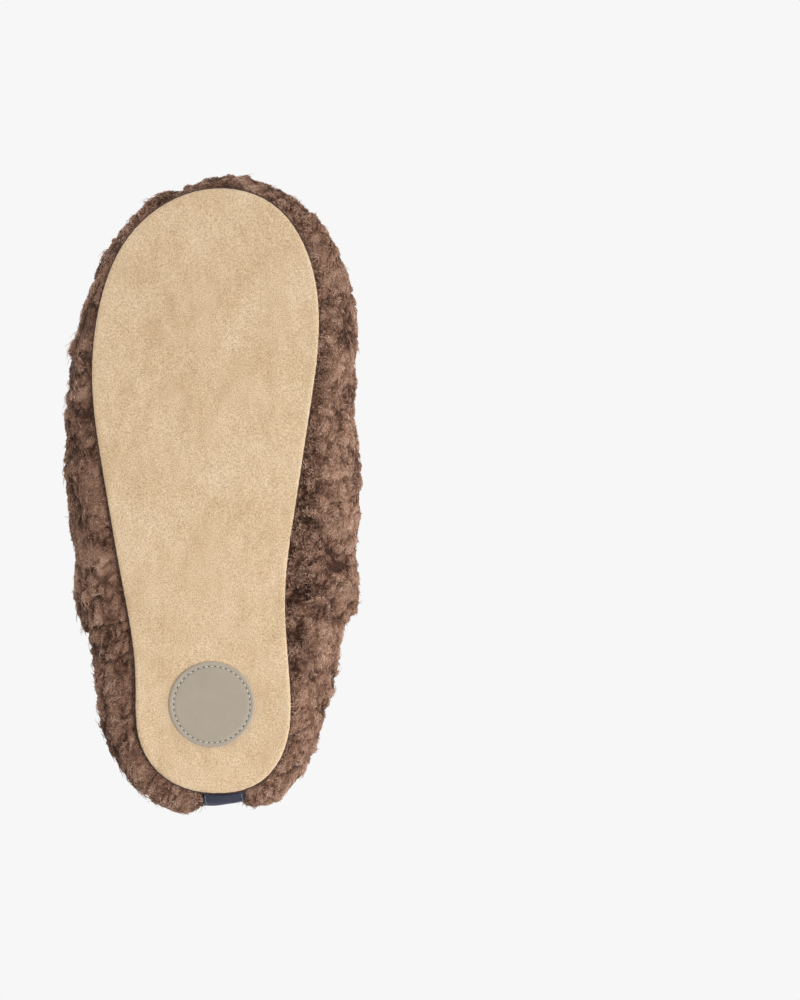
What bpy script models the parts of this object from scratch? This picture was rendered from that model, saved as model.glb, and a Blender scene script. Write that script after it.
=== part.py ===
"""Fluffy house slipper for a right foot, as separate solids in one assembly.

Metres, +Z up. The toe points to -Y, the heel to +Y and the inner (medial) side of the
foot to +X. The slipper stands on the floor, z = 0, with the middle of its box over the
origin.

Two curves drive the shape: the outline of the sole and the topline, the rim of the foot
opening. The backing surface of the upper spans them, and the upper's layers are offsets
of that surface: fleece outside, then counter, foam and lining inside.
"""

import math

import bpy
import numpy as np

MM = 0.001

# Outline of the sole in millimetres, x towards the inner side of the foot, y towards the
# heel: from the heel along the outer side to the toe, and back along the inner side.
SOLE_OUTLINE = [
    (1.0, 128.0), (-17.5, 123.5), (-29.5, 111.0), (-33.2, 80.0), (-39.0, 38.0),
    (-47.0, -8.0), (-51.8, -50.0), (-48.6, -80.0), (-38.5, -106.0), (-19.5, -124.0),
    (3.5, -130.0), (24.5, -123.8), (39.0, -105.0), (45.0, -72.0), (41.2, -36.0),
    (34.6, 8.0), (30.6, 42.0), (32.7, 84.0), (29.6, 111.0), (19.5, 123.6),
]

# Sole stack, from the floor up.
OUTSOLE_THICKNESS = 1.8 * MM
OUTSOLE_EDGE_ROLL = 0.8 * MM
MIDSOLE_THICKNESS = 6.0 * MM
MIDSOLE_INSET = 1.6 * MM
BOARD_THICKNESS = 1.2 * MM
CUSHION_THICKNESS = 5.0 * MM
FOOTBED_THICKNESS = 3.0 * MM
GAP = 0.3 * MM
WALL_CLEARANCE = 1.4 * MM

# Disc sewn under the heel, and the ring of thread near its edge.
PATCH_CENTRE = (-0.6 * MM, 90.2 * MM)
PATCH_DIAMETER = 36.5 * MM
PATCH_THICKNESS = 0.9 * MM
PATCH_THREAD_INSET = 2.0 * MM
PATCH_GROOVE_WIDTH = 1.2 * MM
PATCH_GROOVE_DEPTH = 0.5 * MM
PATCH_THREAD_WIDTH = 0.5 * MM
PATCH_THREAD_DEPTH = 0.35 * MM

# Seam round the sole: a piped binding and the thread beside it.
PIPING_DIAMETER = 1.8 * MM
PIPING_OUTSET = 0.2 * MM
SEAM_THREAD_DIAMETER = 0.6 * MM
SEAM_THREAD_OUTSET = 1.8 * MM

# Topline, the rim of the foot opening, on the backing surface.
OPENING_CENTRE = (-2.0 * MM, 58.0 * MM)
OPENING_HALF_LENGTH = 65.0 * MM
OPENING_HALF_WIDTH = 38.0 * MM
RIM_HEIGHT = 47.0 * MM
THROAT_RISE = 38.0 * MM
THROAT_SHARPNESS = 2.2
HEEL_RISE = 5.0 * MM
RIB_SLANT = 0.66

# Backing surface of the upper. Ribs run from the sole to the topline. How far each rib
# leans out over the sole's edge is given in millimetres at even steps round the sole,
# from the heel along the outer side to the toe and back along the inner side.
UPPER_BASE = 4.2 * MM
RIB_LEAN = [15.5, 26.0, 30.0, 32.0, 20.0, 6.0, 7.0, 24.0, 31.0, 48.0, 44.0, 20.0]
HEEL_RIB_RISE = 24.0 * MM
TOE_RIB_RISE = 30.0 * MM
HEEL_RIB_REACH = 0.10
TOE_RIB_REACH = 0.60
HEEL_RIB_DROP = 16.0 * MM
TOE_RIB_DROP = 27.0 * MM

# Layers of the upper, outwards and inwards from the backing surface.
FLEECE_THICKNESS = 7.0 * MM
FLEECE_SEAM_THICKNESS = 3.5 * MM
FLEECE_RIM_THICKNESS = 3.0 * MM
FLEECE_SEAM_REACH = 12.0 * MM
TURNED_EDGE_EXTRA = 4.5 * MM
TURNED_EDGE_LENGTH = 34.0 * MM
TURNED_EDGE_SEAM_REACH = 20.0 * MM
RIM_ROUNDING = 7.0 * MM
COUNTER_THICKNESS = 0.8 * MM
INTERLINING_THICKNESS = 2.2 * MM
LINING_THICKNESS = 3.0 * MM
LINING_RIM_THICKNESS = 1.2 * MM
CLOSED_RIM = 3.0 * MM

# Places round the sole as a share of its outline: 0 at the heel, 0.5 at the toe.
SIDE_SEAM = 0.153
TAPE_CENTRE = -0.005

# Butted edges of neighbouring panels.
PANEL_GAP = 0.6 * MM

# Heel tape, which turns in over the rim.
TAPE_WIDTH = 17.0 * MM
TAPE_THICKNESS = 1.0 * MM
TAPE_TURN_IN = 16.0 * MM
TAPE_OUTSIDE_GAP = 0.6 * MM
TAPE_INSIDE_GAP = 0.8 * MM
TAPE_OVER_RIM = 0.5 * MM
TAPE_CROWN_RISE = 0.6 * MM
TAPE_SHOULDER = 0.7

# Mesh fineness.
LOOP_COLUMNS = 56
DISC_SEGMENTS = 48
WALL_ROWS_BASE = [0.0, 4.0 * MM, 9.0 * MM, 16.0 * MM]
WALL_ROWS_MIDDLE = 6
WALL_ROWS_GRADE = 1.5
WALL_ROWS_RIM = [7.0 * MM, 2.5 * MM, 0.0]
COUNTER_COLUMNS = 6
COUNTER_ROWS_BELOW_RIM = 4
FOAM_ROWS_BELOW_RIM = 2
FIRST_CUT_ROW = 2
TAPE_COLUMNS = 5
TAPE_ROWS_UP = 7
TAPE_ROWS_IN = 3
COLUMN_MERGE = 0.004
OUTLINE_STEPS = 2000
TABLE_STEPS = 240
SLOPE_STEP = 0.002


def periodic_cubic(knots, values, at):
    """Cubic spline of period 1 through `values` at `knots`, read at the places `at`."""
    knots = np.asarray(knots, float)
    values = np.asarray(values, float).reshape(len(knots), -1)
    count = len(knots)
    spans = np.diff(np.append(knots, knots[0] + 1.0))
    slopes = (np.roll(values, -1, axis=0) - values) / spans[:, None]
    system = np.zeros((count, count))
    for i in range(count):
        system[i, i - 1] += spans[i - 1]
        system[i, i] += 2.0 * (spans[i - 1] + spans[i])
        system[i, (i + 1) % count] += spans[i]
    bends = np.linalg.solve(system, 6.0 * (slopes - np.roll(slopes, 1, axis=0)))
    place = np.mod(np.asarray(at, float) - knots[0], 1.0) + knots[0]
    i = np.clip(np.searchsorted(knots, place, side="right") - 1, 0, count - 1)
    j = (i + 1) % count
    span = spans[i][:, None]
    ahead = (place - knots[i])[:, None]
    behind = span - ahead
    return (bends[i] * behind ** 3 / (6.0 * span)
            + bends[j] * ahead ** 3 / (6.0 * span)
            + (values[i] / span - bends[i] * span / 6.0) * behind
            + (values[j] / span - bends[j] * span / 6.0) * ahead)


def outline_curve():
    """Finely sampled sole outline, with each sample's share of the way round."""
    points = np.array(SOLE_OUTLINE) * MM
    chords = np.linalg.norm(np.roll(points, -1, axis=0) - points, axis=1)
    knots = np.concatenate([[0.0], np.cumsum(chords)[:-1]]) / chords.sum()
    samples = periodic_cubic(knots, points, np.arange(OUTLINE_STEPS) / OUTLINE_STEPS)
    closed = np.vstack([samples, samples[:1]])
    along = np.concatenate([[0.0], np.cumsum(np.linalg.norm(np.diff(closed, axis=0), axis=1))])
    return closed, along / along[-1], along[-1]


OUTLINE_SAMPLES, OUTLINE_SHARES, OUTLINE_LENGTH = outline_curve()


def sole_points(shares):
    """Points of the sole's outline at shares of the way round it."""
    shares = np.mod(shares, 1.0)
    return np.column_stack([np.interp(shares, OUTLINE_SHARES, OUTLINE_SAMPLES[:, axis])
                            for axis in (0, 1)])


def sole_outward(shares):
    """Horizontal unit vectors that point straight out of the sole's outline."""
    ahead = sole_points(shares + SLOPE_STEP) - sole_points(shares - SLOPE_STEP)
    outward = np.column_stack([ahead[:, 1], -ahead[:, 0]])
    return outward / np.linalg.norm(outward, axis=1)[:, None]


def topline_points(shares):
    """Points of the topline that the ribs from these places on the sole run up to."""
    angle = 2.0 * math.pi * shares + RIB_SLANT * np.sin(2.0 * math.pi * shares)
    forward = (1.0 - np.cos(angle)) / 2.0
    x = OPENING_CENTRE[0] - OPENING_HALF_WIDTH * np.sin(angle)
    y = OPENING_CENTRE[1] + OPENING_HALF_LENGTH * np.cos(angle)
    z = RIM_HEIGHT + THROAT_RISE * forward ** THROAT_SHARPNESS + HEEL_RISE * (1.0 - forward) ** 4
    return np.column_stack([x, y, z])


def backing(shares, rises):
    """Backing surface of the upper, at shares round the sole and 0 to 1 up each rib."""
    shares = np.asarray(shares, float)
    rises = np.asarray(rises, float)[:, None]
    sole = sole_points(shares)
    top = topline_points(shares)
    toe = ((1.0 - np.cos(2.0 * math.pi * shares)) / 2.0)[:, None] ** 3
    lean = periodic_cubic(np.arange(len(RIB_LEAN)) / len(RIB_LEAN), RIB_LEAN, shares) * MM
    rise = HEEL_RIB_RISE + (TOE_RIB_RISE - HEEL_RIB_RISE) * toe
    reach = HEEL_RIB_REACH + (TOE_RIB_REACH - HEEL_RIB_REACH) * toe
    drop = HEEL_RIB_DROP + (TOE_RIB_DROP - HEEL_RIB_DROP) * toe
    first = np.column_stack([sole, np.full(len(shares), UPPER_BASE)])
    second = np.column_stack([sole + sole_outward(shares) * lean, UPPER_BASE + rise])
    third = np.column_stack([top[:, :2] + (sole - top[:, :2]) * reach, top[:, 2:] - drop])
    left = 1.0 - rises
    return (first * left ** 3 + 3.0 * second * left ** 2 * rises
            + 3.0 * third * left * rises ** 2 + top * rises ** 3)


def backing_normals(shares, rises):
    """Unit vectors that point out of the upper."""
    shares = np.asarray(shares, float)
    round_sole = backing(shares + SLOPE_STEP, rises) - backing(shares - SLOPE_STEP, rises)
    low = np.clip(np.asarray(rises) - SLOPE_STEP, 0.0, 1.0)
    high = np.clip(np.asarray(rises) + SLOPE_STEP, 0.0, 1.0)
    up_rib = backing(shares, high) - backing(shares, low)
    normals = np.cross(round_sole, up_rib)
    return normals / np.linalg.norm(normals, axis=1)[:, None]


def rib_table(share):
    """Rises and lengths along one rib, at even steps of its rise."""
    rises = np.linspace(0.0, 1.0, TABLE_STEPS)
    points = backing(np.full(TABLE_STEPS, share), rises)
    steps = np.linalg.norm(np.diff(points, axis=0), axis=1)
    return rises, np.concatenate([[0.0], np.cumsum(steps)])


def wall_rows(share):
    """Rises of the mesh rows up one rib: close together at the sole and at the rim."""
    rises, lengths = rib_table(share)
    low = WALL_ROWS_BASE[-1]
    high = lengths[-1] - WALL_ROWS_RIM[0]
    steps = np.linspace(0.0, 1.0, WALL_ROWS_MIDDLE + 1)[1:-1] ** WALL_ROWS_GRADE
    middle = low + (high - low) * steps
    rim = [lengths[-1] - below for below in WALL_ROWS_RIM]
    return np.interp(np.concatenate([WALL_ROWS_BASE, middle, rim]), lengths, rises)


def smooth_step(value):
    """0 below 0, 1 above 1, and a smooth rise between."""
    value = np.clip(value, 0.0, 1.0)
    return value * value * (3.0 - 2.0 * value)


def columns_between(start, end):
    """Places round the sole from start to end, on the shared columns in between."""
    shared = np.arange(math.ceil(start * LOOP_COLUMNS), math.floor(end * LOOP_COLUMNS) + 1)
    inner = [share for share in shared / LOOP_COLUMNS
             if start + COLUMN_MERGE < share < end - COLUMN_MERGE]
    return np.array([start] + inner + [end])


def new_object(name, vertices, faces):
    """Mesh object in metres, shaded smooth except over sharp edges."""
    mesh = bpy.data.meshes.new(name)
    mesh.from_pydata([tuple(float(c) for c in vertex) for vertex in vertices], [], faces)
    mesh.shade_smooth()
    mesh.set_sharp_from_angle(angle=math.radians(40.0))
    piece = bpy.data.objects.new(name, mesh)
    bpy.context.scene.collection.objects.link(piece)
    return piece


def shell(name, inner, outer):
    """Closed solid between two grids of points, each indexed column, row, axis.

    Both walls are split along the same diagonals, so that nested shells stay parallel.
    """
    columns, rows = inner.shape[:2]
    size = columns * rows

    def spot(side, column, row):
        return side * size + column * rows + row

    faces = []
    for c in range(columns - 1):
        for r in range(rows - 1):
            for side in (0, 1):
                near, ahead = spot(side, c, r), spot(side, c + 1, r)
                above, across = spot(side, c, r + 1), spot(side, c + 1, r + 1)
                for corners in ([near, ahead, across], [near, across, above]):
                    faces.append(corners if side == 1 else corners[::-1])
    top = rows - 1
    for c in range(columns - 1):
        faces.append([spot(0, c, 0), spot(0, c + 1, 0), spot(1, c + 1, 0), spot(1, c, 0)])
        faces.append([spot(0, c, top), spot(1, c, top), spot(1, c + 1, top),
                      spot(0, c + 1, top)])
    last = columns - 1
    for r in range(rows - 1):
        faces.append([spot(0, 0, r), spot(1, 0, r), spot(1, 0, r + 1), spot(0, 0, r + 1)])
        faces.append([spot(0, last, r), spot(0, last, r + 1), spot(1, last, r + 1),
                      spot(1, last, r)])
    vertices = np.concatenate([inner.reshape(-1, 3), outer.reshape(-1, 3)])
    return new_object(name, vertices, faces)


def wall_grid(shares, distance, lowest=None, rows_left_off=0):
    """Offset of the backing surface: distance(share, from_sole, from_rim) at each point.

    Nothing hangs below the foot of the upper. Ribs are cut level at the height `lowest`
    if it is given, and lack some rows at the rim.
    """
    grid = []
    for share in shares:
        table, lengths = rib_table(share)
        rises = wall_rows(share)
        rises = rises[:len(rises) - rows_left_off]
        if lowest is not None:
            rises = rises[FIRST_CUT_ROW:]
        along = np.interp(rises, table, lengths)
        spots = np.full(len(rises), share)
        offsets = distance(share, along, lengths[-1] - along)[:, None]
        column = backing(spots, rises) + backing_normals(spots, rises) * offsets
        column[:, 2] = np.maximum(column[:, 2], UPPER_BASE)
        if lowest is not None:
            column[0] = rib_at_height(share, distance, lowest)
        grid.append(column)
    return np.array(grid)


def offset_rib(share, distance):
    """One rib of an offset surface, finely sampled."""
    table, lengths = rib_table(share)
    spots = np.full(len(table), share)
    offsets = distance(share, lengths, lengths[-1] - lengths)[:, None]
    return backing(spots, table) + backing_normals(spots, table) * offsets


def rib_at_height(share, distance, height):
    """Point where one rib of an offset surface passes a height on its way up.

    Below its foot the surface runs straight down.
    """
    rib = offset_rib(share, distance)
    first = int(np.argmax(rib[:, 2] > height))
    if first == 0:
        return np.array([rib[0][0], rib[0][1], height])
    below, above = rib[first - 1], rib[first]
    return below + (above - below) * (height - below[2]) / (above[2] - below[2])


def fixed(distance):
    """Offset that is the same all over."""
    return lambda share, from_sole, from_rim: np.full(len(from_sole), distance)


def rim_rounding(from_rim):
    """Quarter-round profile: 0 at the rim, 1 from the end of the rounding on."""
    part = 1.0 - np.clip(from_rim / RIM_ROUNDING, 0.0, 1.0)
    return np.sqrt(np.clip(1.0 - part ** 2, 0.0, 1.0))


def fleece_face(turned_seams=()):
    """Outer face of the fleece: thinner at the sole and the rim, thicker at turned edges."""
    def distance(share, from_sole, from_rim):
        above_seam = smooth_step(from_sole / FLEECE_SEAM_REACH)
        thickness = (FLEECE_SEAM_THICKNESS
                     + (FLEECE_THICKNESS - FLEECE_SEAM_THICKNESS) * above_seam)
        for seam in turned_seams:
            away = abs(share - seam) * OUTLINE_LENGTH
            turned = smooth_step(1.0 - away / TURNED_EDGE_LENGTH)
            turned = turned * smooth_step(from_sole / TURNED_EDGE_SEAM_REACH)
            thickness = thickness + TURNED_EDGE_EXTRA * turned
        return FLEECE_RIM_THICKNESS + (thickness - FLEECE_RIM_THICKNESS) * rim_rounding(from_rim)
    return distance


def lining_face(outer_offset):
    """Foot-side face of the lining, thinner at the rim."""
    def distance(share, from_sole, from_rim):
        extra = (LINING_THICKNESS - LINING_RIM_THICKNESS) * rim_rounding(from_rim)
        return -outer_offset - LINING_RIM_THICKNESS - extra
    return distance


def plate(name, lower, upper, bottom, top):
    """Flat-faced solid between a lower and an upper loop of points."""
    count = len(lower)
    vertices = [(x, y, bottom) for x, y in lower] + [(x, y, top) for x, y in upper]
    faces = [list(range(count))[::-1], list(range(count, 2 * count))]
    for i in range(count):
        j = (i + 1) % count
        faces.append([i, j, count + j, count + i])
    return new_object(name, vertices, faces)


def inset_outline(shares, inset):
    """The sole's outline moved in by an inset."""
    return sole_points(shares) - sole_outward(shares) * inset


def ring_tube(name, centres, outward, radii, sides, turn=0.0):
    """Closed tube round a loop, with its section lying across the loop."""
    count = len(centres)
    vertices = []
    for centre, out in zip(centres, outward):
        for k in range(sides):
            angle = turn + 2.0 * math.pi * k / sides
            across = radii[0] * math.cos(angle)
            vertices.append((centre[0] + out[0] * across, centre[1] + out[1] * across,
                             centre[2] + radii[1] * math.sin(angle)))
    faces = []
    for i in range(count):
        j = (i + 1) % count
        for k in range(sides):
            m = (k + 1) % sides
            faces.append([i * sides + k, j * sides + k, j * sides + m, i * sides + m])
    return new_object(name, vertices, faces)


def turned_disc(name, centre, profile, segments):
    """Solid turned round a vertical axis from a profile of (radius, height) points."""
    vertices = [(centre[0], centre[1], profile[0][1])]
    for radius, height in profile[1:-1]:
        for k in range(segments):
            angle = 2.0 * math.pi * k / segments
            vertices.append((centre[0] + radius * math.cos(angle),
                             centre[1] + radius * math.sin(angle), height))
    vertices.append((centre[0], centre[1], profile[-1][1]))
    rings = len(profile) - 2
    last = len(vertices) - 1
    faces = []
    for k in range(segments):
        m = (k + 1) % segments
        faces.append([0, 1 + m, 1 + k])
        faces.append([last, 1 + (rings - 1) * segments + k, 1 + (rings - 1) * segments + m])
        for ring in range(rings - 1):
            low = 1 + ring * segments
            faces.append([low + k, low + m, low + segments + m, low + segments + k])
    return new_object(name, vertices, faces)


def material(name, colour, roughness, metallic=0.0):
    """Plain Principled material."""
    made = bpy.data.materials.new(name)
    made.use_nodes = True
    shader = made.node_tree.nodes["Principled BSDF"]
    shader.inputs["Base Color"].default_value = (*colour, 1.0)
    shader.inputs["Roughness"].default_value = roughness
    shader.inputs["Metallic"].default_value = metallic
    return made


def loop_shares():
    """Even places all the way round the sole."""
    return np.arange(LOOP_COLUMNS) / LOOP_COLUMNS


def cut_pocket(piece, name, centre, radius, depth):
    """Round pocket sunk into the underside of a piece."""
    profile = [(0.0, -depth), (radius, -depth), (radius, depth), (0.0, depth)]
    cutter = turned_disc(name, centre, profile, DISC_SEGMENTS)
    cutter.hide_render = True
    cutter.display_type = "WIRE"
    pocket = piece.modifiers.new("pocket", "BOOLEAN")
    pocket.operation = "DIFFERENCE"
    pocket.object = cutter


def make_outsole():
    """Suede skin under the slipper: rolled lower edge, and a pocket for the disc."""
    shares = loop_shares()
    full = inset_outline(shares, 0.0)
    rolled = inset_outline(shares, OUTSOLE_EDGE_ROLL)
    count = len(shares)
    levels = [(rolled, 0.0), (full, OUTSOLE_EDGE_ROLL), (full, OUTSOLE_THICKNESS)]
    vertices = [(x, y, z) for loop, z in levels for x, y in loop]
    faces = [list(range(count))[::-1], list(range(2 * count, 3 * count))]
    for low in (0, count):
        for i in range(count):
            j = (i + 1) % count
            faces.append([low + i, low + j, low + count + j, low + count + i])
    outsole = new_object("outsole", vertices, faces)
    cut_pocket(outsole, "patch_pocket_cutter", PATCH_CENTRE,
               PATCH_DIAMETER / 2.0 + GAP, PATCH_THICKNESS + GAP)
    return outsole


def make_heel_patch():
    """Leatherette disc, its lower face level with the suede, with a groove for the thread."""
    radius = PATCH_DIAMETER / 2.0
    middle = radius - PATCH_THREAD_INSET
    inner = middle - PATCH_GROOVE_WIDTH / 2.0
    outer = middle + PATCH_GROOVE_WIDTH / 2.0
    profile = [(0.0, 0.0), (inner, 0.0), (inner, PATCH_GROOVE_DEPTH), (outer, PATCH_GROOVE_DEPTH),
               (outer, 0.0), (radius, 0.0), (radius, PATCH_THICKNESS), (0.0, PATCH_THICKNESS)]
    return turned_disc("heel_patch", PATCH_CENTRE, profile, DISC_SEGMENTS)


def make_patch_thread():
    """Line of thread in the disc's groove."""
    angles = 2.0 * math.pi * np.arange(DISC_SEGMENTS) / DISC_SEGMENTS
    outward = np.column_stack([np.cos(angles), np.sin(angles)])
    reach = PATCH_DIAMETER / 2.0 - PATCH_THREAD_INSET
    height = PATCH_THREAD_DEPTH / 2.0
    centres = [(PATCH_CENTRE[0] + reach * out[0], PATCH_CENTRE[1] + reach * out[1], height)
               for out in outward]
    half = math.sqrt(0.5)
    radii = (PATCH_THREAD_WIDTH * half, height / half)
    return ring_tube("patch_thread", centres, outward, radii, 4, turn=math.pi / 4.0)


def make_sole_ring(name, outset, height, diameter, sides):
    """Round cord that follows the edge of the sole."""
    shares = loop_shares()
    outward = sole_outward(shares)
    loop = sole_points(shares) + outward * outset
    centres = [(x, y, height) for x, y in loop]
    return ring_tube(name, centres, outward, (diameter / 2.0, diameter / 2.0), sides)


def make_midsole():
    """Foam slab on the suede, inside the piping."""
    loop = inset_outline(loop_shares(), MIDSOLE_INSET)
    bottom = OUTSOLE_THICKNESS + GAP
    return plate("midsole_foam", loop, loop, bottom, bottom + MIDSOLE_THICKNESS)


def make_fitted_plate(name, bottom, thickness):
    """Layer under the foot, fitted to the inside of the lining at its own height."""
    top = bottom + thickness
    face = lining_face(lining_offset())
    shares = loop_shares()
    outward = sole_outward(shares)
    loops = []
    for height in (bottom, top):
        wall = np.array([rib_at_height(share, face, height)[:2] for share in shares])
        loops.append(wall - outward * WALL_CLEARANCE)
    return plate(name, loops[0], loops[1], bottom, top)


def midsole_top():
    """Height of the slab's upper face."""
    return OUTSOLE_THICKNESS + GAP + MIDSOLE_THICKNESS


def lining_offset():
    """How far inside the backing surface the lining's outer face lies."""
    return GAP / 2.0 + INTERLINING_THICKNESS + GAP


def make_layer(name, start, end, outer, inner, **cuts):
    """One layer of the upper between two places round the sole."""
    shares = columns_between(start, end)
    return shell(name, wall_grid(shares, inner, **cuts), wall_grid(shares, outer, **cuts))


def half_panel_gap():
    """Half the gap between neighbouring panels, as a share of the sole's outline."""
    return PANEL_GAP / 2.0 / OUTLINE_LENGTH


def make_fleeces():
    """Fleece of the vamp and of both quarters."""
    backing_face = fixed(GAP / 2.0)
    seam_gap = half_panel_gap()
    tape_half = (TAPE_WIDTH / 2.0 + GAP) / OUTLINE_LENGTH
    seams = (SIDE_SEAM, 1.0 - SIDE_SEAM)
    return [
        make_layer("vamp_fleece", seams[0] + seam_gap, seams[1] - seam_gap,
                   fleece_face(seams), backing_face),
        make_layer("lateral_quarter_fleece", TAPE_CENTRE + tape_half, seams[0] - seam_gap,
                   fleece_face(), backing_face),
        make_layer("medial_quarter_fleece", seams[1] + seam_gap, 1.0 + TAPE_CENTRE - tape_half,
                   fleece_face(), backing_face),
    ]


def make_interlinings():
    """Foam between fleece and lining: full depth in the vamp, thinner behind the counter.

    It stops short of the rim, where the fleece and the lining close over it.
    """
    seam_gap = half_panel_gap()
    lowest = midsole_top() + GAP
    foam_inside = fixed(-GAP / 2.0 - INTERLINING_THICKNESS)
    behind_counter = fixed(-GAP / 2.0 - COUNTER_THICKNESS - GAP)
    return [
        make_layer("vamp_interlining", SIDE_SEAM + seam_gap, 1.0 - SIDE_SEAM - seam_gap,
                   fixed(-GAP / 2.0), foam_inside, lowest=lowest,
                   rows_left_off=FOAM_ROWS_BELOW_RIM),
        make_layer("heel_interlining", -SIDE_SEAM + seam_gap, SIDE_SEAM - seam_gap,
                   behind_counter, foam_inside, lowest=lowest,
                   rows_left_off=FOAM_ROWS_BELOW_RIM),
    ]


def make_counter():
    """Stiffener cup round the back of the heel."""
    end = COUNTER_COLUMNS / LOOP_COLUMNS
    return make_layer("heel_counter", -end, end, fixed(-GAP / 2.0),
                      fixed(-GAP / 2.0 - COUNTER_THICKNESS),
                      lowest=midsole_top() + GAP, rows_left_off=COUNTER_ROWS_BELOW_RIM)


def lining_back():
    """Outer face of the lining, which steps out over the foam's upper edge to the fleece."""
    def distance(share, from_sole, from_rim):
        return np.where(from_rim < CLOSED_RIM, -GAP / 2.0, -lining_offset())
    return distance


def make_linings():
    """Short-pile lining of the vamp and of the heel."""
    seam_gap = half_panel_gap()
    lowest = midsole_top() + GAP
    outer = lining_back()
    inner = lining_face(lining_offset())
    return [
        make_layer("vamp_lining", SIDE_SEAM + seam_gap, 1.0 - SIDE_SEAM - seam_gap,
                   outer, inner, lowest=lowest),
        make_layer("heel_lining", -SIDE_SEAM + seam_gap, SIDE_SEAM - seam_gap,
                   outer, inner, lowest=lowest),
    ]


def make_heel_tape():
    """Woven tape up the back seam, over the rim and down inside."""
    half = TAPE_WIDTH / 2.0 / OUTLINE_LENGTH
    inside = -lining_offset() - LINING_THICKNESS - TAPE_INSIDE_GAP
    near, far = [], []
    for share in np.linspace(TAPE_CENTRE - half, TAPE_CENTRE + half, TAPE_COLUMNS):
        near.append(tape_line(share, TAPE_OUTSIDE_GAP, inside, TAPE_OVER_RIM))
        far.append(tape_line(share, TAPE_OUTSIDE_GAP + TAPE_THICKNESS, inside - TAPE_THICKNESS,
                             TAPE_OVER_RIM + TAPE_THICKNESS))
    return shell("heel_tape", np.array(near), np.array(far))


def tape_line(share, outside, inside, over_rim):
    """One line along the tape: up the back, over the rim, and down inside."""
    rises, lengths = rib_table(share)
    ups = np.linspace(0.0, 1.0, TAPE_ROWS_UP)[:-1] * lengths[-1]
    downs = lengths[-1] - np.linspace(0.0, 1.0, TAPE_ROWS_IN)[1:] * TAPE_TURN_IN
    rim = backing([share], [1.0])[0]
    out = backing_normals([share], [1.0])[0]
    up = np.array([0.0, 0.0, 1.0])
    crown = [rim + out * outside + up * TAPE_SHOULDER * over_rim,
             rim + out * (outside + inside) / 2.0 + up * (over_rim + TAPE_CROWN_RISE),
             rim + out * inside + up * TAPE_SHOULDER * over_rim]
    return np.vstack([tape_run(share, np.interp(ups, lengths, rises), outside), crown,
                      tape_run(share, np.interp(downs, lengths, rises), inside)])


def tape_run(share, rises, offset):
    """Points at one distance from the backing surface, at some rises of a rib."""
    spots = np.full(len(rises), share)
    return backing(spots, rises) + backing_normals(spots, rises) * offset


def centre_over_origin(pieces):
    """Move all pieces so that the middle of their box is over the origin."""
    bpy.context.view_layer.update()
    corners = np.array([vertex.co for piece in pieces for vertex in piece.data.vertices])
    middle = (corners.min(axis=0) + corners.max(axis=0)) / 2.0
    for piece in bpy.context.scene.objects:
        for vertex in piece.data.vertices:
            vertex.co.x -= middle[0]
            vertex.co.y -= middle[1]


def paint(pieces, made):
    """Give several pieces one material."""
    for piece in pieces:
        piece.data.materials.append(made)


def build():
    """Model the whole slipper."""
    for leftover in list(bpy.data.objects):
        bpy.data.objects.remove(leftover, do_unlink=True)

    fleece = material("brown_fleece", (0.13, 0.075, 0.05), 0.95)
    lining = material("brown_lining", (0.17, 0.11, 0.08), 0.95)
    suede = material("tan_microsuede", (0.72, 0.53, 0.34), 0.9)
    leatherette = material("grey_leatherette", (0.44, 0.38, 0.30), 0.55)
    thread = material("grey_thread", (0.50, 0.46, 0.40), 0.8)
    binding = material("dark_brown_binding", (0.05, 0.025, 0.018), 0.9)
    foam = material("white_foam", (0.80, 0.79, 0.75), 0.85)
    board = material("brown_fibreboard", (0.40, 0.29, 0.19), 0.8)
    tape = material("navy_tape", (0.045, 0.055, 0.11), 0.85)

    seam_height = OUTSOLE_THICKNESS + GAP + PIPING_DIAMETER / 2.0
    board_bottom = midsole_top() + GAP
    cushion_bottom = board_bottom + BOARD_THICKNESS + GAP
    footbed_bottom = cushion_bottom + CUSHION_THICKNESS + GAP

    groups = [
        (suede, [make_outsole()]),
        (leatherette, [make_heel_patch()]),
        (thread, [make_patch_thread(),
                  make_sole_ring("sole_seam_thread", SEAM_THREAD_OUTSET, seam_height,
                                 SEAM_THREAD_DIAMETER, 4)]),
        (binding, [make_sole_ring("sole_piping", PIPING_OUTSET, seam_height,
                                  PIPING_DIAMETER, 6)]),
        (board, [make_fitted_plate("insole_board", board_bottom, BOARD_THICKNESS),
                 make_counter()]),
        (foam, [make_midsole(),
                make_fitted_plate("insole_cushion", cushion_bottom, CUSHION_THICKNESS)]
         + make_interlinings()),
        (lining, [make_fitted_plate("footbed_lining", footbed_bottom, FOOTBED_THICKNESS)]
         + make_linings()),
        (fleece, make_fleeces()),
        (tape, [make_heel_tape()]),
    ]
    pieces = []
    for made, members in groups:
        paint(members, made)
        pieces += members
    centre_over_origin(pieces)


build()
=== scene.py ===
import math

import bmesh
import bpy
import numpy as np
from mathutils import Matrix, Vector
from mathutils.bvhtree import BVHTree
from mathutils.geometry import delaunay_2d_cdt
from mathutils.kdtree import KDTree


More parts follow.
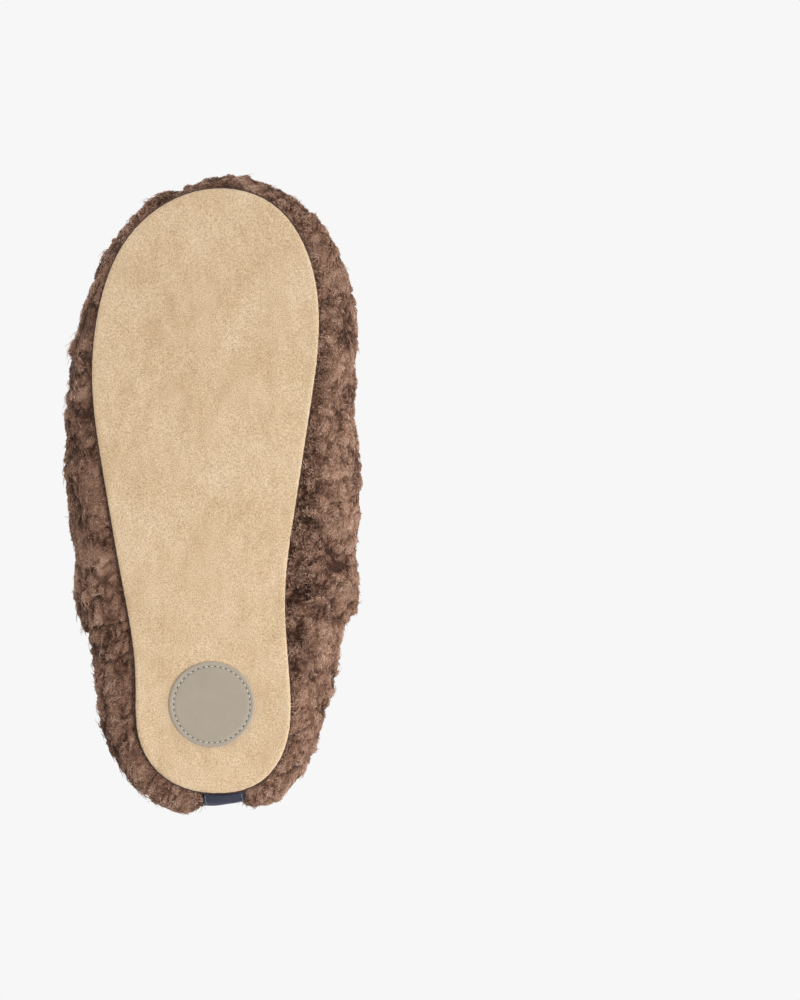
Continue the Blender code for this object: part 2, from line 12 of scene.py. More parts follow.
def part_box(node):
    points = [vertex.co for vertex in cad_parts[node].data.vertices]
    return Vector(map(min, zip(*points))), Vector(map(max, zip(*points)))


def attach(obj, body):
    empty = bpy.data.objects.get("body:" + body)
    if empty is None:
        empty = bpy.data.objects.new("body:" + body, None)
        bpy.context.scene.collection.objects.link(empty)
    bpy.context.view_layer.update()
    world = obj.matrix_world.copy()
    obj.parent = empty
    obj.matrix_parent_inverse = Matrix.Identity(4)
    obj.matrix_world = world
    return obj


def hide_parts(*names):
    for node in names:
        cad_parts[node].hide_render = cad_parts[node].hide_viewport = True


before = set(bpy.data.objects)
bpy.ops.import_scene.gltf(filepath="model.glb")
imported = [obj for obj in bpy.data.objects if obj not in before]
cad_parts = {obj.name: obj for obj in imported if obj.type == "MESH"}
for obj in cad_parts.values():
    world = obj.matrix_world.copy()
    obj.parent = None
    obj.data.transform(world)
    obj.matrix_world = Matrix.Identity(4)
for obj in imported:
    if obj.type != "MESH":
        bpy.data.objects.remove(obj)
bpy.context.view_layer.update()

# The looks of a fluffy house slipper: curly brown fleece, a tan micro-suede sole with a
# sewn disc, a dark binding round the sole and a navy tape up the heel.

MM = 0.001
WELD_DISTANCE = 1e-6

# Camera: straight below the slipper, toe up. The picture's middle lies beside the sole.
CAMERA_DISTANCE = 1.15
PICTURE_HEIGHT = 0.4264
SENSOR_SIZE = 0.036
PICTURE_MIDDLE_FROM_SOLE = (0.0830, 0.0039)
FLOOR_SIZE = 6.0
FLOOR_DROP = 0.6 * MM
CLIP_ABOVE_FLOOR = 0.3 * MM
CLIP_END = 10.0
FILL_STRENGTH = 0.48

# Soft lights: name, place, the point each is aimed at, size and power. Four light the sole
# and the sides from below for the photo's view, two light the slipper from above.
LIGHTS = [
    ("under_key", (0.6, 0.5, -0.65), (0.0, 0.0, 0.02), 0.3, 6.9),
    ("under_side", (1.1, -0.25, -0.27), (0.0, 0.0, 0.03), 0.3, 4.7),
    ("under_fill", (-1.0, -0.3, -0.25), (0.0, 0.0, 0.03), 0.3, 4.2),
    ("toe_rim", (0.1, -1.2, -0.18), (0.0, -0.1, 0.02), 0.3, 3.2),
    ("upper_key", (-0.7, -0.6, 1.0), (0.0, 0.0, 0.03), 0.7, 11.0),
    ("upper_fill", (0.8, 0.5, 0.9), (0.0, 0.0, 0.03), 1.2, 5.0),
]

# Piles. Lengths in metres, areas for one tuft or strand. Pairs are for the outer and the inner
# side of the foot: the fleece is combed into long locks outside and lies flatter inside.
FLEECE = {
    "fill": 0.5,
    "voxel": 0.95 * MM, "smoothing": 30, "sink": 0.5 * MM,
    "spacing": 5.2 * MM, "stretch": (3.0, 1.6), "height": (0.9, 0.9), "along_foot": (0.8, 0.25),
    "scatter": 0.35, "crease": 1.6 * MM, "crack_size": 6.0 * MM,
    "bulge": 2.5 * MM, "swell": 1.5 * MM, "swell_size": 12.0 * MM,
    "nap_area": 0.46 * MM * MM, "nap_length": 1.6 * MM, "nap_steps": 3, "nap_lean": (2.2, 1.0),
    "nap_rise": (0.15, 0.55),
    "lock_area": 2.7 * MM * MM, "lock_length": (4.6 * MM, 3.2 * MM), "lock_steps": 4,
    "lift": (0.2, 0.5), "wave": 4.5 * MM, "swing": 0.35 * MM, "radius": 0.135 * MM,
}
LINING = {
    "fill": 0.4,
    "voxel": 1.3 * MM, "smoothing": 10, "sink": 0.8 * MM,
    "spacing": 3.4 * MM, "stretch": (1.3, 1.3), "height": (1.0, 1.0), "along_foot": (0.0, 0.0),
    "scatter": 0.7, "crease": 2.0 * MM, "crack_size": 9.0 * MM,
    "bulge": 0.7 * MM, "swell": 0.5 * MM, "swell_size": 16.0 * MM,
    "nap_area": 1.4 * MM * MM, "nap_length": 2.3 * MM, "nap_steps": 3, "nap_lean": (0.3, 0.3),
    "nap_rise": (0.25, 0.8),
    "lock_area": 6.0 * MM * MM, "lock_length": (2.6 * MM, 2.6 * MM), "lock_steps": 4,
    "lift": (0.6, 1.1), "wave": 3.0 * MM, "swing": 0.3 * MM, "radius": 0.16 * MM,
}
SIDE_BLEND = 30.0 * MM

# Tufts: spread of their sizes, their creases, and the shape of one hill.
TUFTS_COMPARED = 5
FLOW_SIZE = 24.0 * MM
TUFT_LENGTHS = (0.75, 1.25)
TUFT_HEIGHTS = (0.6, 1.3)
CRACK_OPEN = 0.62
CRACK_VARIES = 1.2
HILL_EDGE = 0.55
HILL_MIDDLE = 0.45
HILL_ROOT = 0.65
HILL_TIP = 0.5
LEVEL = 0.3
DEEPEST = 0.5

# Where a panel's pile thins out or stops: against the layer behind it, at the sole, at the
# next panel and at the heel tape.
HIDDEN_DEPTH = 0.6 * MM
HIDDEN_BLEND = 1.6 * MM
SINK_LIMIT = 0.6
SEAM_BAND = (3.0 * MM, 10.0 * MM)
SEAM_LENGTH = (0.7, 1.4)
RELIEF_AT_SEAM = (0.25, 1.0)
SHOWN_AT_SEAM = 0.03
SHOWN_ABOVE = 0.5
TUCK_IN = 2.6 * MM
TUCK_DOWN = 1.2 * MM
TUCK_BAND = (4.0 * MM, 9.0 * MM)
PILE_FLOOR = 1.5 * MM
PANEL_REACH = 4.0 * MM
PANEL_THINNING = (3.6 * MM, 5.5 * MM)
PANEL_THINNING_REACH = 15.0 * MM
JOINT_OVERLAP = 0.3 * MM
TAPE_THINNING = 3.6 * MM
TAPE_THINNING_REACH = 11.0 * MM

# Where strands grow: more than so clear of a crease, so far up a tuft and so far above the
# seam. All three run from 0 to 1, so -1 sets no limit.
NAP_GROWS_FROM = (0.3, -1.0, -1.0)
LOCKS_GROW_FROM = (-1.0, 0.15, 0.3)

# Strands of the nap, and the ones that hang over the sole's edge.
NAP_LENGTHS = (0.6, 1.25)
NAP_CURL = (1.0, 3.5)
NAP_OUT = 1.1
NAP_BACK = 0.7
SEAM_HAIR_PULL = 3.0
SEAM_HAIR_HEIGHT = 0.22 * MM
SEAM_HAIR_REACH = 4.0 * MM
SEAM_HAIR_BLEND = 1.5 * MM
SEAM_HAIR_DROOP = 1.6

# Longer crimped strands gathered into locks.
LOCK_LENGTHS = (0.7, 1.2)
LOCK_BENDS = (0.55, 1.0)
LOCK_SWINGS = (0.5, 1.4)
LOCK_STRAY = 0.3
LOCK_PHASE_STRAY = 0.5
LOCK_GATHER = 0.6
LOCK_RISE = 0.6

# All strands: their thickness, and how they are split into pieces.
STRAND_FLOOR = 0.15 * MM
STRAND_TAPER = 0.5
STRAND_WIDTHS = (0.7, 1.25)
STRANDS_PER_PIECE = 9000
SPLIT_SLANT = 0.35

# Tones that the pile's materials read, for the edge, the middle and the tip of a tuft. The first
# two are painted shade: the pile is darker in the creases and low on each tuft, and lighter on the
# tufts' tops.
BACKING_SHADE_AND_TONE = (0.14, 0.08, 0.1)
NAP_SHADE_AND_TONE = (0.16, 0.14, 0.2)
LOCK_SHADE_AND_TONE = (0.16, 0.0, 0.22)
NAP_TONE_ROOT = 0.02
NAP_TONE_RISE = 0.1
NAP_TONE_STRAY = 0.1
TUFT_TONE = 0.06
LOCK_TONE_ROOT = 0.05
LOCK_TONE_RISE = 0.16
LOCK_TONE_STRAY = 0.08

# Sole. The edge's profile runs from the seam round to the flat face, as inset and height in
# millimetres.
SOLE_CUT_HEIGHT = 1.2 * MM
SOLE_COLUMNS = 420
SOLE_GRID = 1.6 * MM
STRAIGHT = 0.004
EDGE_PROFILE = [(1.6, 1.75), (0.35, 1.75), (0.05, 1.45), (0.0, 1.05), (0.12, 0.65),
                (0.45, 0.32), (1.0, 0.14), (1.9, 0.06), (3.2, 0.02)]
PUCKER_DEPTH = 0.05 * MM
PUCKER_COLUMNS = 3.0
PUCKERED_INSET = 1.0  # in millimetres, as the profile
FACE_HEIGHT = 0.01 * MM
FACE_UNEVEN = 0.14 * MM
FACE_LUMP = 14.0 * MM

# Heel disc with its stitches, and how far the suede lifts round it.
PATCH_PROUD = 0.7 * MM
PATCH_PROUD_REACH = 22.0 * MM
PATCH_SEGMENTS = 144
PATCH_SINK = 0.05 * MM
PATCH_FACE = 0.02 * MM
PATCH_DISH = 0.06 * MM
PATCH_LINE_INSET = 1.95 * MM
PATCH_CHANNEL = 0.25 * MM
PATCH_CHANNEL_HALF = 1.0 * MM
PATCH_CHANNEL_STEPS = 9
PATCH_FLAT_END = 1.6 * MM
PATCH_EDGE = [(0.5 * MM, 0.05 * MM), (0.15 * MM, 0.16 * MM), (0.0, 0.36 * MM)]
PATCH_EDGE_TONE = 0.1
PATCH_EDGE_BLEND = 0.8 * MM
LINE_POINTS = 720
STITCH_HEIGHT = 0.16 * MM
# Height of the dark marks painted as shade in the needle holes.
HOLE_SHADE_HEIGHT = 0.22 * MM

# Rows of single stitches, and the dark marks between the disc's, painted as the shade in the
# needle holes. `sink` is how far a stitch's ends dip into the cloth.
STITCHES = {
    "disc": {"length": 1.45 * MM, "gap": 0.95 * MM, "sink": 0.3 * MM, "radius": 0.2 * MM},
    "hole_shade": {"length": 1.0 * MM, "gap": 1.4 * MM, "sink": 0.0, "radius": 0.2 * MM},
    "seam": {"length": 1.3 * MM, "gap": 1.5 * MM, "sink": 0.5 * MM, "radius": 0.16 * MM},
    "tape": {"length": 2.0 * MM, "gap": 0.8 * MM, "sink": 0.0, "radius": 0.16 * MM},
}
STITCH_STATIONS = 9
STITCH_SIDES = 6
STITCH_END = 0.97

# Binding and seam round the sole.
SEAM_POINTS = 1200
BINDING_RADIUS = 0.75 * MM
BINDING_GATHER = 0.06 * MM
BINDING_GATHER_POINTS = 5.0
BINDING_INSET = 0.05 * MM
BINDING_SIDES = 10
SEAM_OUTSET = 0.95 * MM
SEAM_BELOW = 0.3 * MM

# Foams inside.
FOAM_VOXEL = 1.2 * MM
FOAM_SMOOTHING = 4
FOAM_UNEVEN = 0.08 * MM
FOAM_LUMP = 9.0 * MM

# Heel tape.
TAPE_VOXEL = 0.4 * MM
TAPE_SMOOTHING = 30
TAPE_EDGE_WIDTH = 1.6 * MM
TAPE_EDGE_BLEND = 0.5 * MM
TAPE_EDGE_RISE = 0.12 * MM
TAPE_WAVE_SIZE = 7.0 * MM
TAPE_WAVE_DEPTH = 0.25 * MM
TAPE_FLOOR = 1.9 * MM
# Lighter on the ribs and darker in the furrows: painted shade.
TAPE_FURROW_SHADE = 0.35
TAPE_EDGE_TONE = -0.3
TAPE_TURN_RADIUS = 4.0 * MM
TAPE_RIB_PITCH = 1.2 * MM
TAPE_RIB_DEPTH = 0.14 * MM
TAPE_STITCH_INSET = 1.9 * MM
TAPE_LINE_START = 1.0 * MM
TAPE_LINE_STEP = 0.25 * MM
TAPE_LINE_RISE = 0.1 * MM
TAPE_RAY_START = 10.0 * MM


# --- noise --------------------

def lattice_noise(points, size, seed):
    """Smooth value noise from -1 to 1 at points, with lumps about `size` across."""
    count = 32
    lattice = np.random.default_rng(seed).uniform(-1.0, 1.0, (count, count, count))
    place = np.asarray(points, float) / size + 1000.0
    cell = np.floor(place).astype(int)
    part = place - cell
    part = part * part * (3.0 - 2.0 * part)
    total = np.zeros(len(place))
    for corner in range(8):
        step = np.array([corner & 1, corner >> 1 & 1, corner >> 2 & 1])
        weight = np.prod(np.where(step, part, 1.0 - part), axis=1)
        spot = (cell + step) % count
        total += weight * lattice[spot[:, 0], spot[:, 1], spot[:, 2]]
    return total


def vector_noise(points, size, seed):
    """Smooth noise with three independent parts."""
    return np.column_stack([lattice_noise(points, size, seed + i) for i in range(3)])


def unit(vectors):
    """Vectors scaled to length 1."""
    return vectors / np.maximum(np.linalg.norm(vectors, axis=-1, keepdims=True), 1e-12)


def along_surface(vectors, normals):
    """Unit vectors with their part along the normals taken out."""
    return unit(vectors - normals * np.sum(vectors * normals, axis=1)[:, None])


def smooth_step(value):
    """0 below 0, 1 above 1, and a smooth rise between."""
    value = np.clip(value, 0.0, 1.0)
    return value * value * (3.0 - 2.0 * value)


# --- meshes --------------------

def new_object(name, mesh, material, slot, *nodes):
    """Piece of the slipper that rides on the root body."""
    piece = bpy.data.objects.new(name, mesh)
    bpy.context.scene.collection.objects.link(piece)
    piece.data.materials.clear()
    piece.data.materials.append(material)
    piece.data.shade_smooth()
    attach(piece, "root")
    if nodes:
        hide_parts(*nodes)
    return piece


def mesh_from(name, vertices, faces):
    """Mesh from an array of points and a list of arrays of equal-sided faces."""
    mesh = bpy.data.meshes.new(name)
    mesh.vertices.add(len(vertices))
    mesh.vertices.foreach_set("co", np.asarray(vertices, np.float32).ravel())
    corners = np.concatenate([np.asarray(f).ravel() for f in faces])
    sides = np.concatenate([np.full(len(f), np.asarray(f).shape[1]) for f in faces])
    starts = np.concatenate([[0], np.cumsum(sides)[:-1]])
    mesh.loops.add(len(corners))
    mesh.loops.foreach_set("vertex_index", corners.astype(np.int32))
    mesh.polygons.add(len(sides))
    mesh.polygons.foreach_set("loop_start", starts.astype(np.int32))
    mesh.update(calc_edges=True)
    return mesh


def band_quads(columns, rows, closed=False):
    """Faces between neighbouring rows of points, where each row runs round a tube."""
    row, column = np.divmod(np.arange((rows - 1 + closed) * columns), columns)
    here, ahead = row * columns, (row + 1) % rows * columns
    beside = (column + 1) % columns
    return np.column_stack([here + column, here + beside, ahead + beside, ahead + column])


def set_tone(mesh, tones):
    """Stores a value for each point, which the materials read as `tone`."""
    layer = mesh.attributes.new("tone", "FLOAT", "POINT")
    layer.data.foreach_set("value", np.asarray(tones, np.float32))


def welded_shape(node):
    """Editable copy of a CAD node with its doubled corner points merged."""
    shape = bmesh.new()
    shape.from_mesh(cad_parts[node].data)
    bmesh.ops.remove_doubles(shape, verts=shape.verts, dist=WELD_DISTANCE)
    return shape


def welded(node):
    """Mesh of a CAD node with its doubled corner points merged."""
    shape = welded_shape(node)
    mesh = bpy.data.meshes.new(node + "_welded")
    shape.to_mesh(mesh)
    shape.free()
    return mesh


def applied(mesh, *modifiers):
    """Mesh after a stack of modifiers, each a type and its settings."""
    carrier = bpy.data.objects.new("carrier", mesh)
    bpy.context.scene.collection.objects.link(carrier)
    for kind, settings in modifiers:
        modifier = carrier.modifiers.new(kind, kind)
        for key, value in settings.items():
            setattr(modifier, key, value)
    bpy.context.view_layer.update()
    shown = carrier.evaluated_get(bpy.context.evaluated_depsgraph_get())
    result = bpy.data.meshes.new_from_object(shown)
    bpy.data.objects.remove(carrier)
    return result


def points_of(mesh):
    """Points and point normals of a mesh as arrays."""
    count = len(mesh.vertices)
    points = np.zeros(count * 3, np.float32)
    normals = np.zeros(count * 3, np.float32)
    mesh.vertices.foreach_get("co", points)
    mesh.vertex_normals.foreach_get("vector", normals)
    return points.reshape(-1, 3).astype(float), normals.reshape(-1, 3).astype(float)


def move_points(mesh, points):
    """Moves a mesh's points to new places."""
    mesh.vertices.foreach_set("co", points.astype(np.float32).ravel())
    mesh.update()


def softened(node, voxel, passes):
    """CAD node as an even, fine mesh with its edges smoothed off."""
    return applied(welded(node),
                   ("REMESH", {"mode": "VOXEL", "voxel_size": voxel}),
                   ("SMOOTH", {"factor": 0.5, "iterations": passes}))


def triangles_of(mesh):
    """Corner indices of a mesh's triangles."""
    mesh.calc_loop_triangles()
    corners = np.zeros(len(mesh.loop_triangles) * 3, np.int32)
    mesh.loop_triangles.foreach_get("vertices", corners)
    return corners.reshape(-1, 3)


def tree_of(*nodes):
    """Search tree over some CAD nodes."""
    points, faces = [], []
    for node in nodes:
        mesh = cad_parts[node].data
        base = len(points)
        points += [v.co.copy() for v in mesh.vertices]
        faces += [[base + i for i in p.vertices] for p in mesh.polygons]
    return BVHTree.FromPolygons(points, faces)


# --- materials --------------------

def srgb(*values):
    """Linear colour from 0-255 sRGB values."""
    part = np.array(values, float) / 255.0
    linear = np.where(part <= 0.04045, part / 12.92, ((part + 0.055) / 1.055) ** 2.4)
    return (*linear, 1.0)


class Nodes:
    """Short-hand for building one material's node tree."""

    def __init__(self, name, **constants):
        self.material = bpy.data.materials.new(name)
        self.material.use_nodes = True
        self.tree = self.material.node_tree
        self.shader = self.tree.nodes["Principled BSDF"]
        for key, value in constants.items():
            self.shader.inputs[key.replace("_", " ")].default_value = value
        self.place = self.tree.nodes.new("ShaderNodeTexCoord").outputs["Object"]

    def link(self, source, target):
        """Connects an output to an input."""
        self.tree.links.new(source, target)

    def noise(self, size, detail=3.0, roughness=0.6, stretch=None):
        """Noise with lumps about `size` metres across, 0 to 1 round 0.5."""
        node = self.tree.nodes.new("ShaderNodeTexNoise")
        node.inputs["Scale"].default_value = 1.0 / size
        node.inputs["Detail"].default_value = detail
        node.inputs["Roughness"].default_value = roughness
        self.link(self.stretched(stretch), node.inputs["Vector"])
        return node.outputs["Fac"]

    def stretched(self, stretch):
        """Object coordinates, scaled along each axis if asked."""
        if stretch is None:
            return self.place
        node = self.tree.nodes.new("ShaderNodeMapping")
        node.inputs["Scale"].default_value = stretch
        self.link(self.place, node.inputs["Vector"])
        return node.outputs["Vector"]

    def cells(self, size, feature="F1"):
        """Distance field of scattered cells about `size` metres across."""
        node = self.tree.nodes.new("ShaderNodeTexVoronoi")
        node.feature = feature
        node.inputs["Scale"].default_value = 1.0 / size
        self.link(self.place, node.inputs["Vector"])
        return node.outputs["Distance"]

    def attribute(self, name):
        """Value stored on the mesh."""
        node = self.tree.nodes.new("ShaderNodeAttribute")
        node.attribute_name = name
        return node.outputs["Fac"]

    def math(self, operation, a, b):
        """Arithmetic on sockets or numbers."""
        node = self.tree.nodes.new("ShaderNodeMath")
        node.operation = operation
        for socket, value in zip(node.inputs, (a, b)):
            if isinstance(value, (int, float)):
                socket.default_value = value
            else:
                self.link(value, socket)
        return node.outputs[0]

    def around(self, value, share):
        """A value of 0 to 1 as a swing either side of 0."""
        return self.math("MULTIPLY", self.math("SUBTRACT", value, 0.5), share)

    def mixture(self, a, share_a, b, share_b):
        """Weighted sum of two values."""
        return self.math("ADD", self.math("MULTIPLY", a, share_a),
                         self.math("MULTIPLY", b, share_b))

    def ramp(self, factor, *stops):
        """Colour from a value: stops are pairs of position and colour."""
        node = self.tree.nodes.new("ShaderNodeValToRGB")
        elements = node.color_ramp.elements
        while len(elements) < len(stops):
            elements.new(0.5)
        for element, (position, colour) in zip(elements, stops):
            element.position = position
            element.color = colour
        self.link(factor, node.inputs["Fac"])
        return node.outputs["Color"]

    def mix(self, factor, a, b, blend="MIX"):
        """Mix of two colours."""
        node = self.tree.nodes.new("ShaderNodeMix")
        node.data_type = "RGBA"
        node.blend_type = blend
        for socket, value in ((node.inputs["Factor"], factor), (node.inputs["A"], a),
                              (node.inputs["B"], b)):
            if isinstance(value, (int, float, tuple)):
                socket.default_value = value
            else:
                self.link(value, socket)
        return node.outputs["Result"]

    def colour(self, source):
        """Sets the base colour."""
        self.link(source, self.shader.inputs["Base Color"])

    def rough(self, low, high, factor):
        """Roughness that varies with a value."""
        node = self.tree.nodes.new("ShaderNodeMapRange")
        node.inputs["To Min"].default_value = low
        node.inputs["To Max"].default_value = high
        self.link(factor, node.inputs["Value"])
        self.link(node.outputs["Result"], self.shader.inputs["Roughness"])

    def bump(self, height, depth, strength=1.0):
        """Relief `depth` metres deep, from a value of 0 to 1."""
        node = self.tree.nodes.new("ShaderNodeBump")
        node.inputs["Distance"].default_value = depth
        node.inputs["Strength"].default_value = strength
        self.link(height, node.inputs["Height"])
        self.link(node.outputs["Normal"], self.shader.inputs["Normal"])


def fleece_material():
    """Curly pile: dark at the roots, lighter and warmer towards the tips, and darker in the creases
    and low on each tuft as painted shade.
    """
    nodes = Nodes("curly_fleece", Roughness=0.6, Sheen_Weight=0.1, Sheen_Roughness=0.5,
                  Sheen_Tint=(0.8, 0.6, 0.48, 1.0), Specular_IOR_Level=0.12)
    broad = nodes.noise(18.0 * MM, detail=3.0)
    fine = nodes.noise(1.6 * MM, detail=2.0)
    shift = nodes.math("ADD", nodes.around(broad, 0.35), nodes.around(fine, 0.25))
    value = nodes.math("ADD", nodes.attribute("tone"), shift)
    # The ramp's dark low end is reached in the creases, where the tone holds painted shade.
    nodes.colour(nodes.ramp(value, (0.03, srgb(58, 34, 24)), (0.2, srgb(134, 99, 80)),
                            (0.46, srgb(202, 165, 142)), (0.8, srgb(240, 214, 195))))
    nodes.rough(0.45, 0.75, fine)
    nodes.bump(nodes.noise(0.7 * MM, detail=2.0), 0.3 * MM)
    return nodes.material


def lining_material():
    """Short-pile lining, a shade greyer than the fleece; its tone is darker in the creases and low
    on each tuft, as painted shade.
    """
    nodes = Nodes("pile_lining", Roughness=0.9, Sheen_Weight=0.3, Sheen_Roughness=0.5,
                  Sheen_Tint=(0.75, 0.62, 0.52, 1.0), Specular_IOR_Level=0.2)
    broad = nodes.noise(12.0 * MM, detail=4.0)
    value = nodes.math("ADD", nodes.attribute("tone"), nodes.around(broad, 0.5))
    nodes.colour(nodes.ramp(value, (0.0, srgb(96, 66, 50)), (0.4, srgb(168, 134, 112)),
                            (0.9, srgb(214, 184, 162))))
    return nodes.material


def suede_material():
    """Tan micro-suede: cloudy nap, pebbled grain and a soft sheen."""
    nodes = Nodes("tan_microsuede", Roughness=0.88, Sheen_Weight=0.25, Sheen_Roughness=0.45,
                  Sheen_Tint=(1.0, 0.93, 0.82, 1.0), Specular_IOR_Level=0.2)
    cloud = nodes.noise(34.0 * MM, detail=5.0, roughness=0.62)
    brushed = nodes.noise(9.0 * MM, detail=4.0, stretch=(1.6, 0.7, 1.0))
    grain = nodes.noise(0.45 * MM, detail=2.0, roughness=0.7)
    pebble = nodes.cells(1.2 * MM, "SMOOTH_F1")
    value = nodes.mixture(cloud, 0.55, brushed, 0.45)
    base = nodes.ramp(value, (0.34, srgb(202, 172, 137)), (0.5, srgb(215, 188, 154)),
                      (0.66, srgb(223, 199, 168)))
    speck = nodes.ramp(grain, (0.34, (0.64, 0.6, 0.54, 1.0)), (0.5, (0.98, 0.98, 0.98, 1.0)),
                       (0.66, (1.22, 1.22, 1.2, 1.0)))
    nodes.colour(nodes.mix(1.0, base, speck, "MULTIPLY"))
    nodes.rough(0.8, 0.96, brushed)
    nodes.bump(nodes.mixture(grain, 0.6, pebble, 0.5), 0.28 * MM)
    return nodes.material


def leatherette_material():
    """Grey disc: faint grain, slightly worn."""
    nodes = Nodes("grey_leatherette", Roughness=0.5, Specular_IOR_Level=0.4)
    wear = nodes.noise(9.0 * MM, detail=4.0)
    grain = nodes.cells(0.7 * MM, "SMOOTH_F1")
    value = nodes.math("ADD", nodes.math("MULTIPLY", wear, 0.5), nodes.attribute("tone"))
    nodes.colour(nodes.ramp(value, (0.15, srgb(163, 152, 136)), (0.35, srgb(168, 157, 141)),
                            (0.75, srgb(178, 169, 155))))
    nodes.rough(0.42, 0.6, wear)
    nodes.bump(grain, 0.05 * MM)
    return nodes.material


def thread_material(name, colour_low, colour_high):
    """Twisted thread; also used for the dark marks painted as shade in the needle holes."""
    nodes = Nodes(name, Roughness=0.7, Sheen_Weight=0.15)
    fibre = nodes.noise(0.5 * MM, detail=2.0)
    nodes.colour(nodes.ramp(fibre, (0.3, colour_low), (0.7, colour_high)))
    nodes.bump(fibre, 0.06 * MM)
    return nodes.material


def seam_thread_material():
    """Seam thread: mostly as dark as the binding, lighter where it comes up."""
    nodes = Nodes("seam_thread", Roughness=0.8)
    nodes.colour(nodes.ramp(nodes.noise(24.0 * MM, detail=3.0), (0.5, srgb(74, 50, 40)),
                            (0.66, srgb(176, 148, 130))))
    nodes.bump(nodes.noise(0.5 * MM, detail=2.0), 0.05 * MM)
    return nodes.material


def binding_and_seam_shade_material():
    """Dark brown woven binding; its dark colour also stands in for the shade in the crevice between
    sole and fleece, as painted shade.
    """
    nodes = Nodes("dark_binding_and_seam_shade", Roughness=0.9, Sheen_Weight=0.1)
    weave = nodes.noise(0.6 * MM, detail=2.0)
    nodes.colour(nodes.ramp(weave, (0.3, srgb(48, 30, 22)), (0.7, srgb(88, 62, 50))))
    nodes.bump(weave, 0.1 * MM)
    return nodes.material


def tape_material():
    """Navy woven tape: darker in the furrows between its ribs as painted shade, and darker along
    its edges.
    """
    nodes = Nodes("navy_tape", Roughness=0.75, Sheen_Weight=0.15, Sheen_Roughness=0.4,
                  Sheen_Tint=(0.7, 0.72, 0.85, 1.0), Specular_IOR_Level=0.3)
    fibre = nodes.noise(0.35 * MM, detail=2.0)
    worn = nodes.noise(6.0 * MM, detail=3.0)
    value = nodes.math("ADD", nodes.attribute("tone"), nodes.math("MULTIPLY", fibre, 0.5))
    value = nodes.math("ADD", value, nodes.math("MULTIPLY", worn, 0.4))
    nodes.colour(nodes.ramp(value, (0.2, srgb(11, 12, 24)), (0.6, srgb(28, 30, 50)),
                            (1.0, srgb(62, 66, 92))))
    nodes.rough(0.4, 0.75, worn)
    nodes.bump(fibre, 0.08 * MM)
    return nodes.material


def plain_cloth(name, low, high, size):
    """Mottled material for the pieces inside."""
    nodes = Nodes(name, Roughness=0.9)
    mottle = nodes.noise(size, detail=4.0)
    nodes.colour(nodes.ramp(mottle, (0.3, low), (0.7, high)))
    nodes.bump(nodes.cells(size * 0.3), size * 0.05)
    return nodes.material


# --- fleece --------------------

def between(pair, share):
    """Value between two, by a share from 0 to 1."""
    return pair[0] + (pair[1] - pair[0]) * share


def inner_side(points):
    """0 on the outer side of the foot, 1 on the inner side."""
    return smooth_step(0.5 + points[:, 0] / (2.0 * SIDE_BLEND))


class Tufts:
    """Where the tufts of a pile stand, and which way each one is combed."""

    def __init__(self, points, normals, pile, seed):
        rng = np.random.default_rng(seed)
        side = inner_side(points)
        self.points = points
        self.pile = pile
        self.seed = seed
        self.stretch = between(pile["stretch"], side)
        flow = vector_noise(points, FLOW_SIZE, seed + 11)
        flow += pile["scatter"] * rng.normal(size=points.shape)
        flow[:, 1] += between(pile["along_foot"], side)
        self.flow = along_surface(flow, normals)
        self.across = np.cross(normals, self.flow)
        self.tree = KDTree(len(points))
        for i, point in enumerate(points):
            self.tree.insert(Vector(point), i)
        self.tree.balance()
        self.phase = rng.uniform(0.0, 2.0 * math.pi, len(points))
        self.tone = rng.uniform(-1.0, 1.0, len(points))
        self.length = rng.uniform(*TUFT_LENGTHS, len(points))
        self.height = rng.uniform(*TUFT_HEIGHTS, len(points)) * between(pile["height"], side)

    def nearest(self, points):
        """Each point's tuft, and from 0 to 1 how clear it is of a crease, how far up the tuft,
        and how near the tuft's tip."""
        near = np.array([[i for _, i, _ in self.tree.find_n(Vector(p), TUFTS_COMPARED)]
                         for p in points])
        offset = points[:, None, :] - self.points[near]
        along = np.sum(offset * self.flow[near], axis=2)
        square = np.sum(offset ** 2, axis=2)
        reach = np.sqrt(square - along ** 2 * (1.0 - 1.0 / self.stretch[near] ** 2))
        order = np.argsort(reach, axis=1)
        rows = np.arange(len(points))
        first, second = order[:, 0], order[:, 1]
        edge = reach[rows, second] - reach[rows, first]
        crack = lattice_noise(points, self.pile["crack_size"], self.seed)
        opening = smooth_step(CRACK_OPEN + CRACK_VARIES * crack)
        crest = 1.0 - opening * (1.0 - smooth_step(edge / self.pile["crease"]))
        top = smooth_step(edge / self.pile["spacing"])
        index = near[rows, first]
        run = self.stretch[index] * self.pile["spacing"]
        return index, crest, top, smooth_step(0.5 + along[rows, first] / run)


def scattered(mesh, keep, area, seed):
    """Random points on the kept triangles of a mesh, one for each `area`."""
    rng = np.random.default_rng(seed)
    points, normals = points_of(mesh)
    triangles = triangles_of(mesh)
    triangles = triangles[keep[triangles].all(axis=1)]
    a, b, c = (points[triangles[:, i]] for i in range(3))
    areas = 0.5 * np.linalg.norm(np.cross(b - a, c - a), axis=1)
    count = int(areas.sum() / area)
    which = rng.choice(len(triangles), size=count, p=areas / areas.sum())
    one, two = rng.random(count), rng.random(count)
    flip = one + two > 1.0
    one[flip], two[flip] = 1.0 - one[flip], 1.0 - two[flip]
    shares = np.column_stack([1.0 - one - two, one, two])[:, :, None]
    corners = triangles[which]
    return ((points[corners] * shares).sum(axis=1), unit((normals[corners] * shares).sum(axis=1)))


